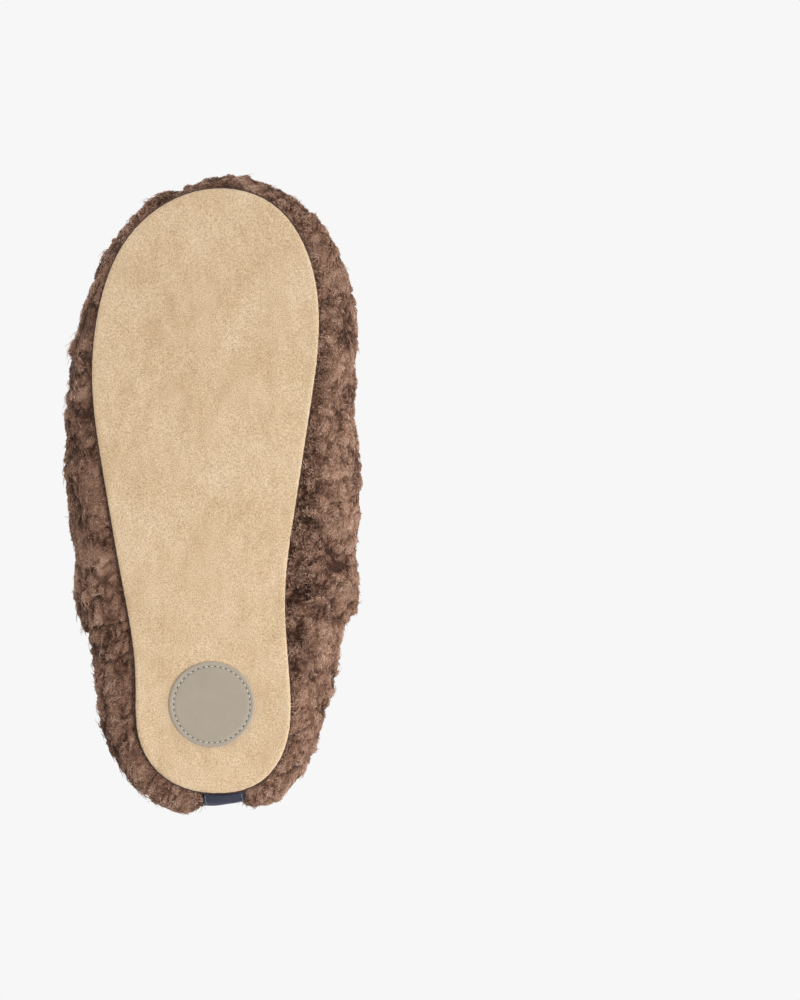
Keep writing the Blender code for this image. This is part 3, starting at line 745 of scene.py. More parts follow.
def lock_paths(roots, normals, tufts, index, lengths, pile, seed):
    """Paths of crimped strands: out of the base, combed over, gathered into their tuft."""
    rng = np.random.default_rng(seed)
    count = len(roots)
    way = np.linspace(0.0, 1.0, pile["lock_steps"] + 1)[None, :, None]
    flow = tufts.flow[index] + LOCK_STRAY * rng.normal(size=(count, 3))
    flow = along_surface(flow, normals)
    across = np.cross(normals, flow)
    lift = rng.uniform(*pile["lift"], count)[:, None, None]
    bend = rng.uniform(*LOCK_BENDS, count)[:, None, None]
    lengths = lengths[:, None, None]
    out = lengths * (way * np.sin(lift) - 0.5 * bend * way ** 2)
    along = lengths * (way * np.cos(lift) + 0.25 * bend * way ** 2)
    start = np.sum((roots - tufts.points[index]) * tufts.flow[index], axis=1)[:, None, None]
    phase = (tufts.phase[index] + LOCK_PHASE_STRAY * rng.normal(size=count))[:, None, None]
    angle = phase + 2.0 * math.pi * (start + along) / pile["wave"]
    swing = pile["swing"] * np.minimum(1.0, 2.0 * way)
    swing = swing * rng.uniform(*LOCK_SWINGS, count)[:, None, None]
    offset = np.sum((tufts.points[index] - roots) * tufts.across[index], axis=1)[:, None, None]
    gather = LOCK_GATHER * offset * smooth_step(way) * tufts.across[index][:, None, :]
    return (roots[:, None, :] + normals[:, None, :] * (out + LOCK_RISE * swing * np.cos(angle))
            + flow[:, None, :] * along + across[:, None, :] * swing * np.sin(angle) + gather)


def nap_paths(roots, normals, flow, lengths, pile, seed):
    """Paths of short strands that lean along a flow and curl over the base."""
    rng = np.random.default_rng(seed)
    count = len(roots)
    way = np.linspace(0.0, 1.0, pile["nap_steps"] + 1)[None, :, None]
    flow = flow + rng.normal(size=(count, 3))
    flow = along_surface(flow, normals)
    turn = rng.uniform(*NAP_CURL, count) * rng.choice([-1.0, 1.0], count)
    turn = turn[:, None, None]
    across = np.cross(normals, flow)[:, None, :]
    along = np.sin(turn * way) / turn
    aside = (1.0 - np.cos(turn * way)) / turn
    out = way * (NAP_OUT - NAP_BACK * way) * rng.uniform(*pile["nap_rise"], count)[:, None, None]
    return roots[:, None, :] + lengths[:, None, None] * (
        normals[:, None, :] * out + flow[:, None, :] * along + across * aside)


def tube_mesh(name, paths, radii, tones):
    """Thin closed three-sided tubes, each tapering to a point, as one mesh."""
    count, sections = paths.shape[0], paths.shape[1] - 1
    tangents = unit(np.gradient(paths, axis=1))
    helper = unit(np.roll(tangents[:, :1, :], 1, axis=2) + 0.1)
    side = unit(np.cross(tangents, helper))
    other = np.cross(tangents, side)
    rings = []
    for k in range(3):
        angle = 2.0 * math.pi * k / 3.0
        ring = paths + radii[:, :, None] * (side * math.cos(angle) + other * math.sin(angle))
        rings.append(ring[:, :sections, :])
    body = np.stack(rings, axis=2).reshape(count, sections * 3, 3)
    vertices = np.concatenate([body, paths[:, -1:, :]], axis=1)
    per_strand = sections * 3 + 1
    last = (sections - 1) * 3
    tips = [[last + k, last + (k + 1) % 3, per_strand - 1] for k in range(3)]
    caps = [[0, 2, 1]]
    base = (np.arange(count) * per_strand)[:, None, None]
    faces = [(band_quads(3, sections)[None] + base).reshape(-1, 4),
             (np.array(tips + caps)[None] + base).reshape(-1, 3)]
    mesh = mesh_from(name, vertices.reshape(-1, 3), faces)
    point_tones = np.concatenate([np.repeat(tones[:, :sections], 3, axis=1), tones[:, -1:]], axis=1)
    set_tone(mesh, point_tones.ravel())
    unwrap_tubes(mesh, count, sections)
    return mesh


def unwrap_tubes(mesh, count, sections):
    """Texture layout with one small cell for each strand: round it, and along it."""
    quads = [[(k, s), (k + 1, s), (k + 1, s + 1), (k, s + 1)]
             for s in range(sections - 1) for k in range(3)]
    tips = [[(k, sections - 1), (k + 1, sections - 1), (k + 0.5, sections)] for k in range(3)]
    cap = [[(0, -0.3), (2, -0.3), (1, -0.3)]]
    scale = np.array([3.0, sections])
    cells = math.ceil(math.sqrt(count))
    corner = np.column_stack([np.arange(count) % cells, np.arange(count) // cells])
    places = []
    for group in (quads, tips + cap):
        local = 0.15 + 0.7 * np.array(group).reshape(-1, 2) / scale
        places.append(((corner[:, None, :] + local[None]) / cells).reshape(-1, 2))
    layer = mesh.uv_layers.new(name="OFBake")
    layer.data.foreach_set("uv", np.concatenate(places).astype(np.float32).ravel())


def nearest_on(tree, points):
    """Nearest point of some surfaces to each point, and how far off it is."""
    found = [tree.find_nearest(Vector(p)) for p in points]
    return np.array([f[0] for f in found]), np.array([f[3] for f in found])


def toward_sole(points):
    """Level directions from round the slipper in towards the sole."""
    return unit(points * np.array([-1.0, -0.4, 0.0]))


def pile_body(node, hidden, beside, pile, tuck):
    """Backing of a pile: the CAD solid made fine and soft, its shown side drawn in."""
    mesh = softened(node, pile["voxel"], pile["smoothing"])
    points, _ = points_of(mesh)
    inner, depth = nearest_on(hidden, points)
    outer = smooth_step((depth - HIDDEN_DEPTH) / HIDDEN_BLEND)
    sink = pile["sink"] * above_seam(points[:, 2])
    joined = np.zeros(len(points))
    if beside:
        panel, gap = nearest_on(beside, points)
        joined = smooth_step(1.0 - gap / PANEL_REACH)
        thinning = between(PANEL_THINNING, inner_side(points)) * (node == "vamp_fleece")
        thinning = thinning * above_seam(points[:, 2])
        sink += thinning * smooth_step(1.0 - gap / PANEL_THINNING_REACH)
        points += (panel - points) * joined[:, None]
    if tuck:
        sink += TAPE_THINNING * beside_tape(points)
    sink = np.minimum(sink, SINK_LIMIT * depth)
    points += unit(inner - points) * (sink * outer)[:, None]
    if tuck:
        low = smooth_step(1.0 - (points[:, 2] - TUCK_BAND[0]) / (TUCK_BAND[1] - TUCK_BAND[0]))
        points += toward_sole(points) * (TUCK_IN * low)[:, None]
        points[:, 2] -= TUCK_DOWN * low
    move_points(mesh, points)
    return mesh, outer, depth - sink, joined


def above_seam(height):
    """0 beside the sole's seam, 1 where the pile has its full length."""
    return smooth_step((height - SEAM_BAND[0]) / (SEAM_BAND[1] - SEAM_BAND[0]))


def beside_tape(points):
    """1 at the edges of the heel tape, falling to 0 where the pile is full again."""
    low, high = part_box("heel_tape")
    off_edge = np.abs(points[:, 0] - (low.x + high.x) / 2.0) - (high.x - low.x) / 2.0
    return smooth_step(1.0 - off_edge / TAPE_THINNING_REACH) * (points[:, 1] > 0.0)


def shade_and_tone_of(weights, crest, top, tip):
    """Tone from how clear a place is of a crease, how far up its tuft and how near the tuft's tip:
    painted shade darkens the creases and the low sides of each tuft.
    """
    return weights[0] * crest + weights[1] * top + weights[2] * tip


def make_pile(node, hidden, beside, pile, material, slot, seed, tuck=False):
    """One panel of pile: a backing of tufts with creases between them, a dense nap, and locks."""
    mesh, outer, room, joined = pile_body(node, hidden, beside, pile, tuck)
    points, normals = points_of(mesh)
    shown = outer > between((SHOWN_AT_SEAM, SHOWN_ABOVE), above_seam(points[:, 2]))
    tufts = Tufts(*scattered(mesh, shown, pile["spacing"] ** 2, seed), pile, seed)
    index, crest, top, tip = tufts.nearest(points)
    swell = lattice_noise(points, pile["swell_size"], seed + 3)
    away = between(RELIEF_AT_SEAM, above_seam(points[:, 2]))
    hill = (HILL_EDGE * crest + HILL_MIDDLE * top) * (HILL_ROOT + HILL_TIP * tip)
    relief = pile["bulge"] * (tufts.height[index] * hill - LEVEL) + pile["swell"] * swell
    relief = np.maximum(relief, -DEEPEST * room) * (1.0 - joined) + JOINT_OVERLAP * joined
    points += normals * (outer * away * relief)[:, None]
    points[:, 2] = np.maximum(points[:, 2], PILE_FLOOR)
    move_points(mesh, points)
    # Painted shade: the backing is darker in its creases and low on each tuft.
    set_tone(mesh, shade_and_tone_of(BACKING_SHADE_AND_TONE, crest, top, tip))
    new_object(node + "_backing", mesh, material, slot, node)

    rng = np.random.default_rng(seed + 7)
    paths, tones = nap_strands(mesh, shown, tufts, rng, tuck)
    make_strands(node + "_nap", paths, pile, tones, material, slot, node, seed)
    paths, tones = lock_strands(mesh, shown, tufts, rng)
    make_strands(node + "_locks", paths, pile, tones, material, slot, node, seed)


def planted(mesh, shown, kind, tufts, seed, least):
    """Roots of one kind of strand with their normals, their tufts and their places in the tuft,
    where all of `least` is passed: clear of a crease, up the tuft and above the seam."""
    roots, normals = scattered(mesh, shown, tufts.pile[kind + "_area"], seed)
    index, crest, top, tip = tufts.nearest(roots)
    clear = np.column_stack([crest, top, above_seam(roots[:, 2])])
    keep = (clear > np.array(least)).all(axis=1)
    return [a[keep] for a in (roots, normals, index, crest, top, tip)]


def nap_strands(mesh, shown, tufts, rng, tuck):
    """Paths and tones of the dense short strands, some drawn over the sole's edge."""
    pile, seed = tufts.pile, tufts.seed
    roots, normals, index, crest, top, tip = planted(mesh, shown, "nap", tufts, seed + 5,
                                                     NAP_GROWS_FROM)
    side = inner_side(roots)
    low = 1.0 - above_seam(roots[:, 2])
    flow = tufts.flow[index] * between(pile["nap_lean"], side)[:, None]
    if tuck:
        flow += toward_sole(roots) * (SEAM_HAIR_PULL * low * side)[:, None]
    lengths = pile["nap_length"] * rng.uniform(*NAP_LENGTHS, len(roots))
    lengths *= 1.0 - low * (1.0 - between(SEAM_LENGTH, side))
    paths = nap_paths(roots, normals, flow, lengths, pile, seed + 9)
    steps = np.linspace(0.0, 1.0, pile["nap_steps"] + 1)[None, :]
    if tuck:
        at_seam = smooth_step((SEAM_HAIR_REACH - roots[:, 2]) / SEAM_HAIR_BLEND)
        droop = (at_seam * side)[:, None] * smooth_step(SEAM_HAIR_DROOP * steps)
        paths[:, :, 2] += (SEAM_HAIR_HEIGHT - paths[:, :, 2]) * droop
    # Darker at the roots and lighter at the tips, random per tuft and strand, with painted shade
    # that darkens the strands in the creases and low on each tuft.
    tones = (NAP_TONE_ROOT + NAP_TONE_RISE * steps + shade_and_tone_of(NAP_SHADE_AND_TONE, crest, top, tip)[:, None]
             + TUFT_TONE * tufts.tone[index][:, None]
             + NAP_TONE_STRAY * rng.normal(size=(len(roots), 1)))
    return paths, tones


def lock_strands(mesh, shown, tufts, rng):
    """Paths and tones of the longer strands on the tufts."""
    pile, seed = tufts.pile, tufts.seed
    roots, normals, index, crest, top, tip = planted(mesh, shown, "lock", tufts, seed + 15,
                                                     LOCKS_GROW_FROM)
    lengths = between(pile["lock_length"], inner_side(roots)) * tufts.length[index]
    lengths = lengths * rng.uniform(*LOCK_LENGTHS, len(roots))
    paths = lock_paths(roots, normals, tufts, index, lengths, pile, seed + 17)
    steps = np.linspace(0.0, 1.0, pile["lock_steps"] + 1)[None, :]
    # Darker at the roots and lighter at the tips, random per strand, with painted shade that
    # darkens the strands near the creases.
    tones = (LOCK_TONE_ROOT + LOCK_TONE_RISE * steps + shade_and_tone_of(LOCK_SHADE_AND_TONE, crest, top, tip)[:, None]
             + LOCK_TONE_STRAY * rng.normal(size=(len(roots), 1)))
    return paths, tones


def make_strands(name, paths, pile, tones, material, slot, node, seed):
    """Strands as pieces of a handy size, each one a stretch of the panel."""
    rng = np.random.default_rng(seed + 21)
    paths[:, :, 2] = np.maximum(paths[:, :, 2], STRAND_FLOOR)
    steps = np.linspace(0.0, 1.0, paths.shape[1])[None, :]
    radii = pile["radius"] * (1.0 - STRAND_TAPER * steps ** 2)
    radii = radii * rng.uniform(*STRAND_WIDTHS, (len(paths), 1))
    order = np.argsort(paths[:, 0, 1] + SPLIT_SLANT * paths[:, 0, 0])
    groups = np.array_split(order, math.ceil(len(order) / STRANDS_PER_PIECE))
    for part, members in enumerate(groups):
        piece = f"{name}_{part + 1}"
        strands = tube_mesh(piece, paths[members], radii[members], tones[members])
        new_object(piece, strands, material, slot, node)


# --- sole --------------------

def section_of(node, height):
    """Closed loop where a level plane cuts a CAD node, in order round it."""
    shape = welded_shape(node)
    cut = bmesh.ops.bisect_plane(shape, geom=[*shape.verts, *shape.edges, *shape.faces],
                                 plane_co=(0.0, 0.0, height), plane_no=(0.0, 0.0, 1.0))
    edges = {e for e in cut["geom_cut"] if isinstance(e, bmesh.types.BMEdge)}
    start = max((v for e in edges for v in e.verts), key=lambda v: v.co.x)
    loop, here = [start], start
    while True:
        ahead = [e for e in here.link_edges if e in edges]
        if not ahead:
            break
        edges.remove(ahead[0])
        here = ahead[0].other_vert(here)
        if here is start:
            break
        loop.append(here)
    loop = np.array([tuple(v.co)[:2] for v in loop])
    shape.free()
    before, after = unit(loop - np.roll(loop, 1, axis=0)), unit(np.roll(loop, -1, axis=0) - loop)
    loop = loop[np.abs(before[:, 0] * after[:, 1] - before[:, 1] * after[:, 0]) > STRAIGHT]
    turn = np.roll(loop, -1, axis=0)
    area = np.sum(loop[:, 0] * turn[:, 1] - loop[:, 1] * turn[:, 0])
    return loop if area > 0.0 else loop[::-1]


def resampled_loop(loop, count):
    """Closed loop through points, rounded with a cardinal spline, evenly spaced."""
    before, after = np.roll(loop, 1, axis=0), np.roll(loop, -1, axis=0)
    further = np.roll(loop, -2, axis=0)
    fine = []
    for t in np.linspace(0.0, 1.0, 8, endpoint=False):
        fine.append(0.5 * (2.0 * loop + (after - before) * t
                           + (2.0 * before - 5.0 * loop + 4.0 * after - further) * t ** 2
                           + (3.0 * loop - before - 3.0 * after + further) * t ** 3))
    dense = np.stack(fine, axis=1).reshape(-1, loop.shape[1])
    closed = np.vstack([dense, dense[:1]])
    along = length_along(closed)
    loop = points_at(closed, along, np.linspace(0.0, along[-1], count, endpoint=False))
    ahead = np.roll(loop, -1, axis=0) - np.roll(loop, 1, axis=0)
    outward = unit(np.column_stack([ahead[:, 1], -ahead[:, 0]]))
    return loop, outward


def length_along(line):
    """Length run at each point of a line."""
    return np.concatenate([[0.0], np.cumsum(np.linalg.norm(np.diff(line, axis=0), axis=1))])


def points_at(line, along, places):
    """Points of a line where the length run along it reaches given places."""
    return np.column_stack([np.interp(places, along, values) for values in line.T])


def sealed(mesh):
    """Closes a mesh's open rim and turns its faces outwards."""
    shape = bmesh.new()
    shape.from_mesh(mesh)
    boundary = [e for e in shape.edges if e.is_boundary]
    if boundary:
        bmesh.ops.contextual_create(shape, geom=boundary)
    bmesh.ops.recalc_face_normals(shape, faces=shape.faces)
    shape.to_mesh(mesh)
    shape.free()
    return mesh


def grid_inside(loop, spacing):
    """Points on a triangular grid inside a closed loop, clear of its line."""
    low, high = loop.min(axis=0), loop.max(axis=0)
    ys = np.arange(low[1], high[1], spacing * math.sqrt(0.75))
    xs = np.arange(low[0], high[0], spacing)
    rows = [np.column_stack([xs + 0.5 * spacing * (i % 2), np.full(len(xs), y)])
            for i, y in enumerate(ys)]
    points = np.concatenate(rows)
    after = np.roll(loop, -1, axis=0)
    inside = np.zeros(len(points), bool)
    for a, b in zip(loop, after):
        crosses = (a[1] > points[:, 1]) != (b[1] > points[:, 1])
        rise = b[1] - a[1] if b[1] != a[1] else 1e-12
        inside ^= crosses & (points[:, 0] < a[0] + (points[:, 1] - a[1]) / rise * (b[0] - a[0]))
    gap = np.min(np.linalg.norm(points[:, None, :] - loop[None], axis=2), axis=1)
    return points[inside & (gap > 0.7 * spacing)]


def make_outsole(material, patch_centre, patch_radius):
    """Suede skin: flat face, rounded edge that turns up into the seam, soft unevenness."""
    loop, outward = resampled_loop(section_of("outsole", SOLE_CUT_HEIGHT), SOLE_COLUMNS)
    pucker = PUCKER_DEPTH * np.sin(np.arange(SOLE_COLUMNS) * 2.0 * math.pi / PUCKER_COLUMNS)
    rings = []
    for inset, height in EDGE_PROFILE:
        shift = inset * MM + pucker * (inset < PUCKERED_INSET)
        rings.append(np.column_stack([loop - outward * shift[:, None],
                                      np.full(SOLE_COLUMNS, height * MM)]))
    inner = rings[-1][:, :2]
    middle = grid_inside(inner, SOLE_GRID)
    rings.append(np.column_stack([middle, np.full(len(middle), FACE_HEIGHT)]))
    points = np.concatenate(rings)
    first_flat = (len(EDGE_PROFILE) - 1) * SOLE_COLUMNS
    flat = np.arange(len(points)) >= first_flat
    from_patch = np.linalg.norm(points[:, :2] - patch_centre, axis=1)
    rise = PATCH_PROUD * smooth_step(1.0 - (from_patch - patch_radius) / PATCH_PROUD_REACH)
    uneven = FACE_UNEVEN * (lattice_noise(points, FACE_LUMP, 5) + 1.0)
    points[:, 2] += np.where(flat, rise + uneven, 0.0)
    flat_points = [Vector(p) for p in np.concatenate([inner, middle])]
    rim = [(k, (k + 1) % SOLE_COLUMNS) for k in range(SOLE_COLUMNS)]
    _, _, triangles, *_ = delaunay_2d_cdt(flat_points, rim, [], 1, 1e-9)
    faces = [band_quads(SOLE_COLUMNS, len(EDGE_PROFILE)),
             np.array([t for t in triangles if len(t) == 3]) + first_flat]
    new_object("outsole_suede", sealed(mesh_from("outsole_suede", points, faces)), material,
               "microsuede", "outsole")


def turned(name, centre, profile, segments):
    """Solid turned round a vertical axis from (radius, height) points."""
    angles = 2.0 * math.pi * np.arange(segments) / segments
    vertices = [np.array([[centre[0], centre[1], profile[0][1]]])]
    for radius, height in profile[1:-1]:
        vertices.append(np.column_stack([centre[0] + radius * np.cos(angles),
                                         centre[1] + radius * np.sin(angles),
                                         np.full(segments, height)]))
    vertices.append(np.array([[centre[0], centre[1], profile[-1][1]]]))
    vertices = np.concatenate(vertices)
    rings = len(profile) - 2
    i = np.arange(segments)
    j = (i + 1) % segments
    last = len(vertices) - 1
    low = 1 + (rings - 1) * segments
    faces = [1 + band_quads(segments, rings),
             np.column_stack([np.zeros(segments, int), 1 + j, 1 + i]),
             np.column_stack([np.full(segments, last), low + i, low + j])]
    return sealed(mesh_from(name, vertices, faces))


def stitch_paths(line, stitch, closed):
    """Paths of single stitches along a line, dipping into the cloth at both ends."""
    if closed:
        line = np.vstack([line, line[:1]])
    along = length_along(line)
    count = int(along[-1] / (stitch["length"] + stitch["gap"]))
    pitch = along[-1] / count
    share = np.linspace(-1.0, 1.0, STITCH_STATIONS)
    paths = []
    for k in range(count):
        places = (k + 0.5) * pitch + 0.5 * share * (pitch - stitch["gap"])
        path = points_at(line, along, np.mod(places, along[-1]))
        path[:, 2] += stitch["sink"] * np.abs(share) ** 3
        paths.append(path)
    return paths


def stitch_mesh(name, paths, radius):
    """Round-ended stitches as closed tubes."""
    count, sections = paths.shape[:2]
    tangents = unit(np.gradient(paths, axis=1))
    side = unit(np.cross(tangents, np.array([0.1, 0.2, 1.0])))
    other = np.cross(side, tangents)
    swell = np.sqrt(np.clip(1.0 - np.linspace(-STITCH_END, STITCH_END, sections) ** 6, 0.0, 1.0))
    sides = STITCH_SIDES
    rings = []
    for k in range(sides):
        angle = 2.0 * math.pi * k / sides
        rings.append(paths + radius * swell[None, :, None] * (
            side * math.cos(angle) + other * math.sin(angle)))
    vertices = np.stack(rings, axis=2).reshape(count * sections * sides, 3)
    first = np.arange(sides)
    caps = np.stack([first[::-1], first + (sections - 1) * sides])
    base = (np.arange(count) * sections * sides)[:, None, None]
    faces = [(band_quads(sides, sections)[None] + base).reshape(-1, 4),
             (caps[None] + base).reshape(-1, sides)]
    return sealed(mesh_from(name, vertices, faces))


def sew(name, lines, kind, material, node, closed=True):
    """Row of single stitches along each line, as one piece. Gives how many there are."""
    stitch = STITCHES[kind]
    paths = np.concatenate([stitch_paths(line, stitch, closed) for line in lines])
    new_object(name, stitch_mesh(name, paths, stitch["radius"]), material, "thread", node)
    return len(paths)


def make_patch(material, thread, hole_shade):
    """Leatherette disc with a pressed channel, single stitches in it, and dark marks between them
    as painted shade in their needle holes.
    """
    low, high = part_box("heel_patch")
    centre = np.array([(low.x + high.x) / 2.0, (low.y + high.y) / 2.0])
    radius = (high.x - low.x) / 2.0
    line = radius - PATCH_LINE_INSET
    back = high.z - PATCH_SINK
    profile = [(0.0, PATCH_DISH), (0.5 * radius, PATCH_FACE), (line - PATCH_FLAT_END, PATCH_FACE)]
    for step in np.linspace(-1.0, 1.0, PATCH_CHANNEL_STEPS):
        dip = PATCH_CHANNEL * (0.5 + 0.5 * math.cos(math.pi * step))
        profile.append((line + step * PATCH_CHANNEL_HALF, PATCH_FACE + dip))
    profile += [(radius - inset, height) for inset, height in PATCH_EDGE]
    profile += [(radius, back), (0.0, back)]
    disc = turned("heel_disc", centre, profile, PATCH_SEGMENTS)
    points, _ = points_of(disc)
    from_centre = np.linalg.norm(points[:, :2] - centre, axis=1)
    set_tone(disc, PATCH_EDGE_TONE * smooth_step((from_centre - line) / PATCH_EDGE_BLEND))
    new_object("heel_disc", disc, material, "leatherette", "heel_patch")
    angles = 2.0 * math.pi * np.arange(LINE_POINTS) / LINE_POINTS
    circle = centre + line * np.column_stack([np.cos(angles), np.sin(angles)])
    ring = np.column_stack([circle, np.full(LINE_POINTS, STITCH_HEIGHT)])
    count = sew("heel_disc_stitches", [ring], "disc", thread, "patch_thread")
    # Dark marks between the stitches: painted shade in the needle holes.
    ring[:, 2] = HOLE_SHADE_HEIGHT
    ring = np.roll(ring, LINE_POINTS // (2 * count), axis=0)
    sew("heel_disc_hole_shades", [ring], "hole_shade", hole_shade, "patch_thread")
    return centre, radius


def ring_mesh(name, loop, heights, radius, sides):
    """Closed tube along a loop."""
    points = np.column_stack([loop, heights])
    tangents = unit(np.roll(points, -1, axis=0) - np.roll(points, 1, axis=0))
    side = unit(np.cross(tangents, np.array([0.0, 0.0, 1.0])))
    up = np.cross(side, tangents)
    angles = 2.0 * math.pi * np.arange(sides) / sides
    rings = [points + radius[:, None] * (side * math.cos(a) + up * math.sin(a)) for a in angles]
    vertices = np.stack(rings, axis=1).reshape(-1, 3)
    return sealed(mesh_from(name, vertices, [band_quads(sides, len(loop), closed=True)]))


def make_sole_seam(binding, thread):
    """Binding round the sole, gathered by the thread that sews it on."""
    low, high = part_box("sole_piping")
    count = SEAM_POINTS
    loop, outward = resampled_loop(section_of("outsole", SOLE_CUT_HEIGHT), count)
    wave = np.arange(count) * 2.0 * math.pi / BINDING_GATHER_POINTS
    radius = BINDING_RADIUS + BINDING_GATHER * np.sin(wave)
    heights = np.full(count, (low.z + high.z) / 2.0)
    ring = ring_mesh("sole_binding", loop - outward * BINDING_INSET, heights, radius,
                     BINDING_SIDES)
    new_object("sole_binding", ring, binding, "binding", "sole_piping")
    low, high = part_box("sole_seam_thread")
    line = np.column_stack([loop + outward * SEAM_OUTSET,
                            np.full(count, (low.z + high.z) / 2.0 - SEAM_BELOW)])
    sew("sole_seam_stitches", [line], "seam", thread, "sole_seam_thread")


# --- foams inside --------------------

def make_foam(node, material, slot):
    """Foam piece: the CAD solid with its edges softened and its faces slightly uneven."""
    mesh = softened(node, FOAM_VOXEL, FOAM_SMOOTHING)
    points, normals = points_of(mesh)
    points -= normals * (FOAM_UNEVEN * (1.0 + lattice_noise(points, FOAM_LUMP, 61)))[:, None]
    move_points(mesh, points)
    new_object(node + "_soft", mesh, material, slot, node)


# --- heel tape --------------------

def place_along_tape(points, crown, turn_radius):
    """How far along the tape points lie: up the back, over the crown, down inside."""
    off = points[:, 1:] - crown
    angle = np.clip(np.arctan2(off[:, 1], off[:, 0]), 0.0, math.pi)
    bend = crown[1] + turn_radius * angle
    down = crown[1] + turn_radius * math.pi - off[:, 1]
    return np.where(off[:, 1] > 0.0, bend, np.where(off[:, 0] > 0.0, points[:, 2], down))


def make_tape(material, thread):
    """Woven tape with crosswise ribs, raised edges and a row of stitches along each edge."""
    low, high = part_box("heel_tape")
    centre = (low.x + high.x) / 2.0
    half = (high.x - low.x) / 2.0
    mesh = softened("heel_tape", TAPE_VOXEL, TAPE_SMOOTHING)
    points, normals = points_of(mesh)
    near_top = points[points[:, 2] > high.z - 2.0 * TAPE_TURN_RADIUS]
    crown = np.array([near_top[:, 1].mean(), high.z - TAPE_TURN_RADIUS])
    along = place_along_tape(points, crown, TAPE_TURN_RADIUS)
    rib = np.abs(np.sin(math.pi * along / TAPE_RIB_PITCH))
    off_centre = np.abs(points[:, 0] - centre)
    edge = smooth_step((off_centre - half + TAPE_EDGE_WIDTH) / TAPE_EDGE_BLEND)
    waves = lattice_noise(points, TAPE_WAVE_SIZE, 41)
    relief = TAPE_RIB_DEPTH * rib + TAPE_EDGE_RISE * edge + TAPE_WAVE_DEPTH * waves
    points += normals * relief[:, None]
    points[:, 2] = np.maximum(points[:, 2], TAPE_FLOOR)
    move_points(mesh, points)
    # Painted shade in the furrows between the ribs, and a darker colour along the edges.
    set_tone(mesh, TAPE_FURROW_SHADE * rib + TAPE_EDGE_TONE * edge)
    new_object("heel_tape_weave", mesh, material, "tape", "heel_tape")

    surface = BVHTree.FromPolygons([Vector(p) for p in points],
                                   [tuple(p.vertices) for p in mesh.polygons])
    lines = []
    for side in (-1.0, 1.0):
        x = centre + side * (half - TAPE_STITCH_INSET)
        line = []
        for z in np.arange(low.z + TAPE_LINE_START, crown[1], TAPE_LINE_STEP):
            outside = Vector((x, high.y + TAPE_RAY_START, z))
            hit = surface.ray_cast(outside, Vector((0.0, -1.0, 0.0)))
            if hit[0] is not None:
                line.append(tuple(hit[0] + hit[1] * TAPE_LINE_RISE))
        lines.append(np.array(line))
    sew("heel_tape_stitches", lines, "tape", thread, "heel_tape", closed=False)


# --- stage --------------------

def make_camera():
    """Camera under the floor that looks straight up, with the toe at the picture's top."""
    low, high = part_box("outsole")
    data = bpy.data.cameras.new("camera")
    data.sensor_width = SENSOR_SIZE * 1000.0
    data.lens = data.sensor_width * CAMERA_DISTANCE / PICTURE_HEIGHT
    data.clip_start = CAMERA_DISTANCE - CLIP_ABOVE_FLOOR
    data.clip_end = CLIP_END
    camera = bpy.data.objects.new("camera", data)
    camera.location = ((low.x + high.x) / 2.0 + PICTURE_MIDDLE_FROM_SOLE[0],
                       (low.y + high.y) / 2.0 + PICTURE_MIDDLE_FROM_SOLE[1], -CAMERA_DISTANCE)
    camera.rotation_euler = (math.pi, 0.0, 0.0)
    bpy.context.scene.collection.objects.link(camera)
    bpy.context.scene.camera = camera


def make_floor():
    """Pale floor that lets the light from below through, as a light table does."""
    bpy.ops.mesh.primitive_plane_add(size=FLOOR_SIZE, location=(0.0, 0.0, -FLOOR_DROP))
    floor = bpy.context.active_object
    floor.name = "floor"
    nodes = Nodes("pale_floor", Roughness=0.8, Specular_IOR_Level=0.2)
    nodes.colour(nodes.ramp(nodes.noise(0.4, detail=2.0), (0.3, srgb(236, 236, 235)),
                            (0.7, srgb(240, 240, 239))))
    floor.data.materials.append(nodes.material)
    floor.visible_shadow = False
    floor.visible_diffuse = False
    floor.visible_glossy = False
    floor.visible_transmission = False


def make_light(name, location, target, size, power):
    """Square soft light aimed at a point."""
    data = bpy.data.lights.new(name, "AREA")
    data.size = size
    data.energy = power
    light = bpy.data.objects.new(name, data)
    light.location = location
    direction = Vector(target) - Vector(location)
    light.rotation_euler = direction.to_track_quat("-Z", "Y").to_euler()
    bpy.context.scene.collection.objects.link(light)


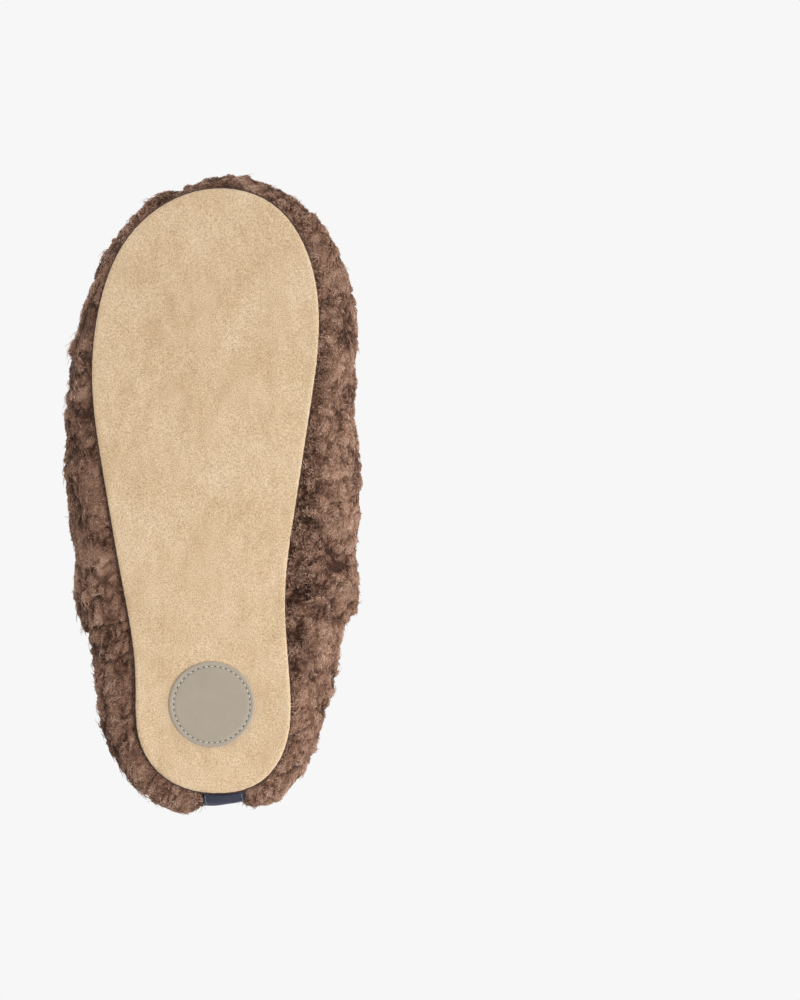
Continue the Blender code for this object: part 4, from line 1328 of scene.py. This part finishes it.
def make_world():
    """Pale surround: the backdrop that the camera sees, and a softer fill light."""
    world = bpy.data.worlds.new("studio")
    world.use_nodes = True
    tree = world.node_tree
    fill = tree.nodes["Background"]
    fill.inputs["Color"].default_value = (1.0, 1.0, 1.0, 1.0)
    fill.inputs["Strength"].default_value = FILL_STRENGTH
    seen = tree.nodes.new("ShaderNodeBackground")
    seen.inputs["Color"].default_value = srgb(247, 247, 247)
    path = tree.nodes.new("ShaderNodeLightPath")
    mixed = tree.nodes.new("ShaderNodeMixShader")
    tree.links.new(path.outputs["Is Camera Ray"], mixed.inputs["Fac"])
    tree.links.new(fill.outputs["Background"], mixed.inputs[1])
    tree.links.new(seen.outputs["Background"], mixed.inputs[2])
    tree.links.new(mixed.outputs["Shader"], tree.nodes["World Output"].inputs["Surface"])
    bpy.context.scene.world = world


def make_stage():
    """Camera, floor, surround and lights."""
    make_camera()
    make_floor()
    make_world()
    for light in LIGHTS:
        make_light(*light)
    bpy.context.scene.view_settings.view_transform = "Standard"


make_stage()

fleece = fleece_material()
outer_hidden = tree_of("vamp_interlining", "heel_interlining", "heel_counter")
fleeces = ("vamp_fleece", "lateral_quarter_fleece", "medial_quarter_fleece")
for place, node in enumerate(fleeces):
    beside = tree_of(*[other for other in fleeces if other != node])
    make_pile(node, outer_hidden, beside, FLEECE, fleece, "fleece", 100 * (place + 1), tuck=True)
lining = lining_material()
for place, node in enumerate(("vamp_lining", "heel_lining")):
    make_pile(node, outer_hidden, None, LINING, lining, "lining", 100 * (place + 5))
make_pile("footbed_lining", tree_of("insole_cushion"), None, LINING, lining, "lining", 800)

stitch_thread = thread_material("grey_thread", srgb(186, 178, 165), srgb(224, 218, 206))
# Dark colour for the needle holes: painted shade.
needle_hole_shade = thread_material("needle_hole_shade", srgb(84, 78, 70), srgb(110, 104, 94))
disc_centre, disc_radius = make_patch(leatherette_material(), stitch_thread, needle_hole_shade)
make_outsole(suede_material(), disc_centre, disc_radius)
make_sole_seam(binding_and_seam_shade_material(), seam_thread_material())

foam = plain_cloth("white_foam", srgb(222, 220, 212), srgb(236, 234, 226), 2.0 * MM)
board = plain_cloth("brown_fibreboard", srgb(150, 122, 92), srgb(178, 148, 114), 1.5 * MM)
tape_thread = thread_material("tape_thread", srgb(96, 98, 116), srgb(156, 158, 172))
make_tape(tape_material(), tape_thread)
for node, fill in (("midsole_foam", 1.0), ("insole_cushion", 0.8),
                   ("vamp_interlining", 0.6), ("heel_interlining", 0.6)):
    make_foam(node, foam, "foam")
for node in ("insole_board", "heel_counter"):
    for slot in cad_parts[node].material_slots:
        slot.material = board
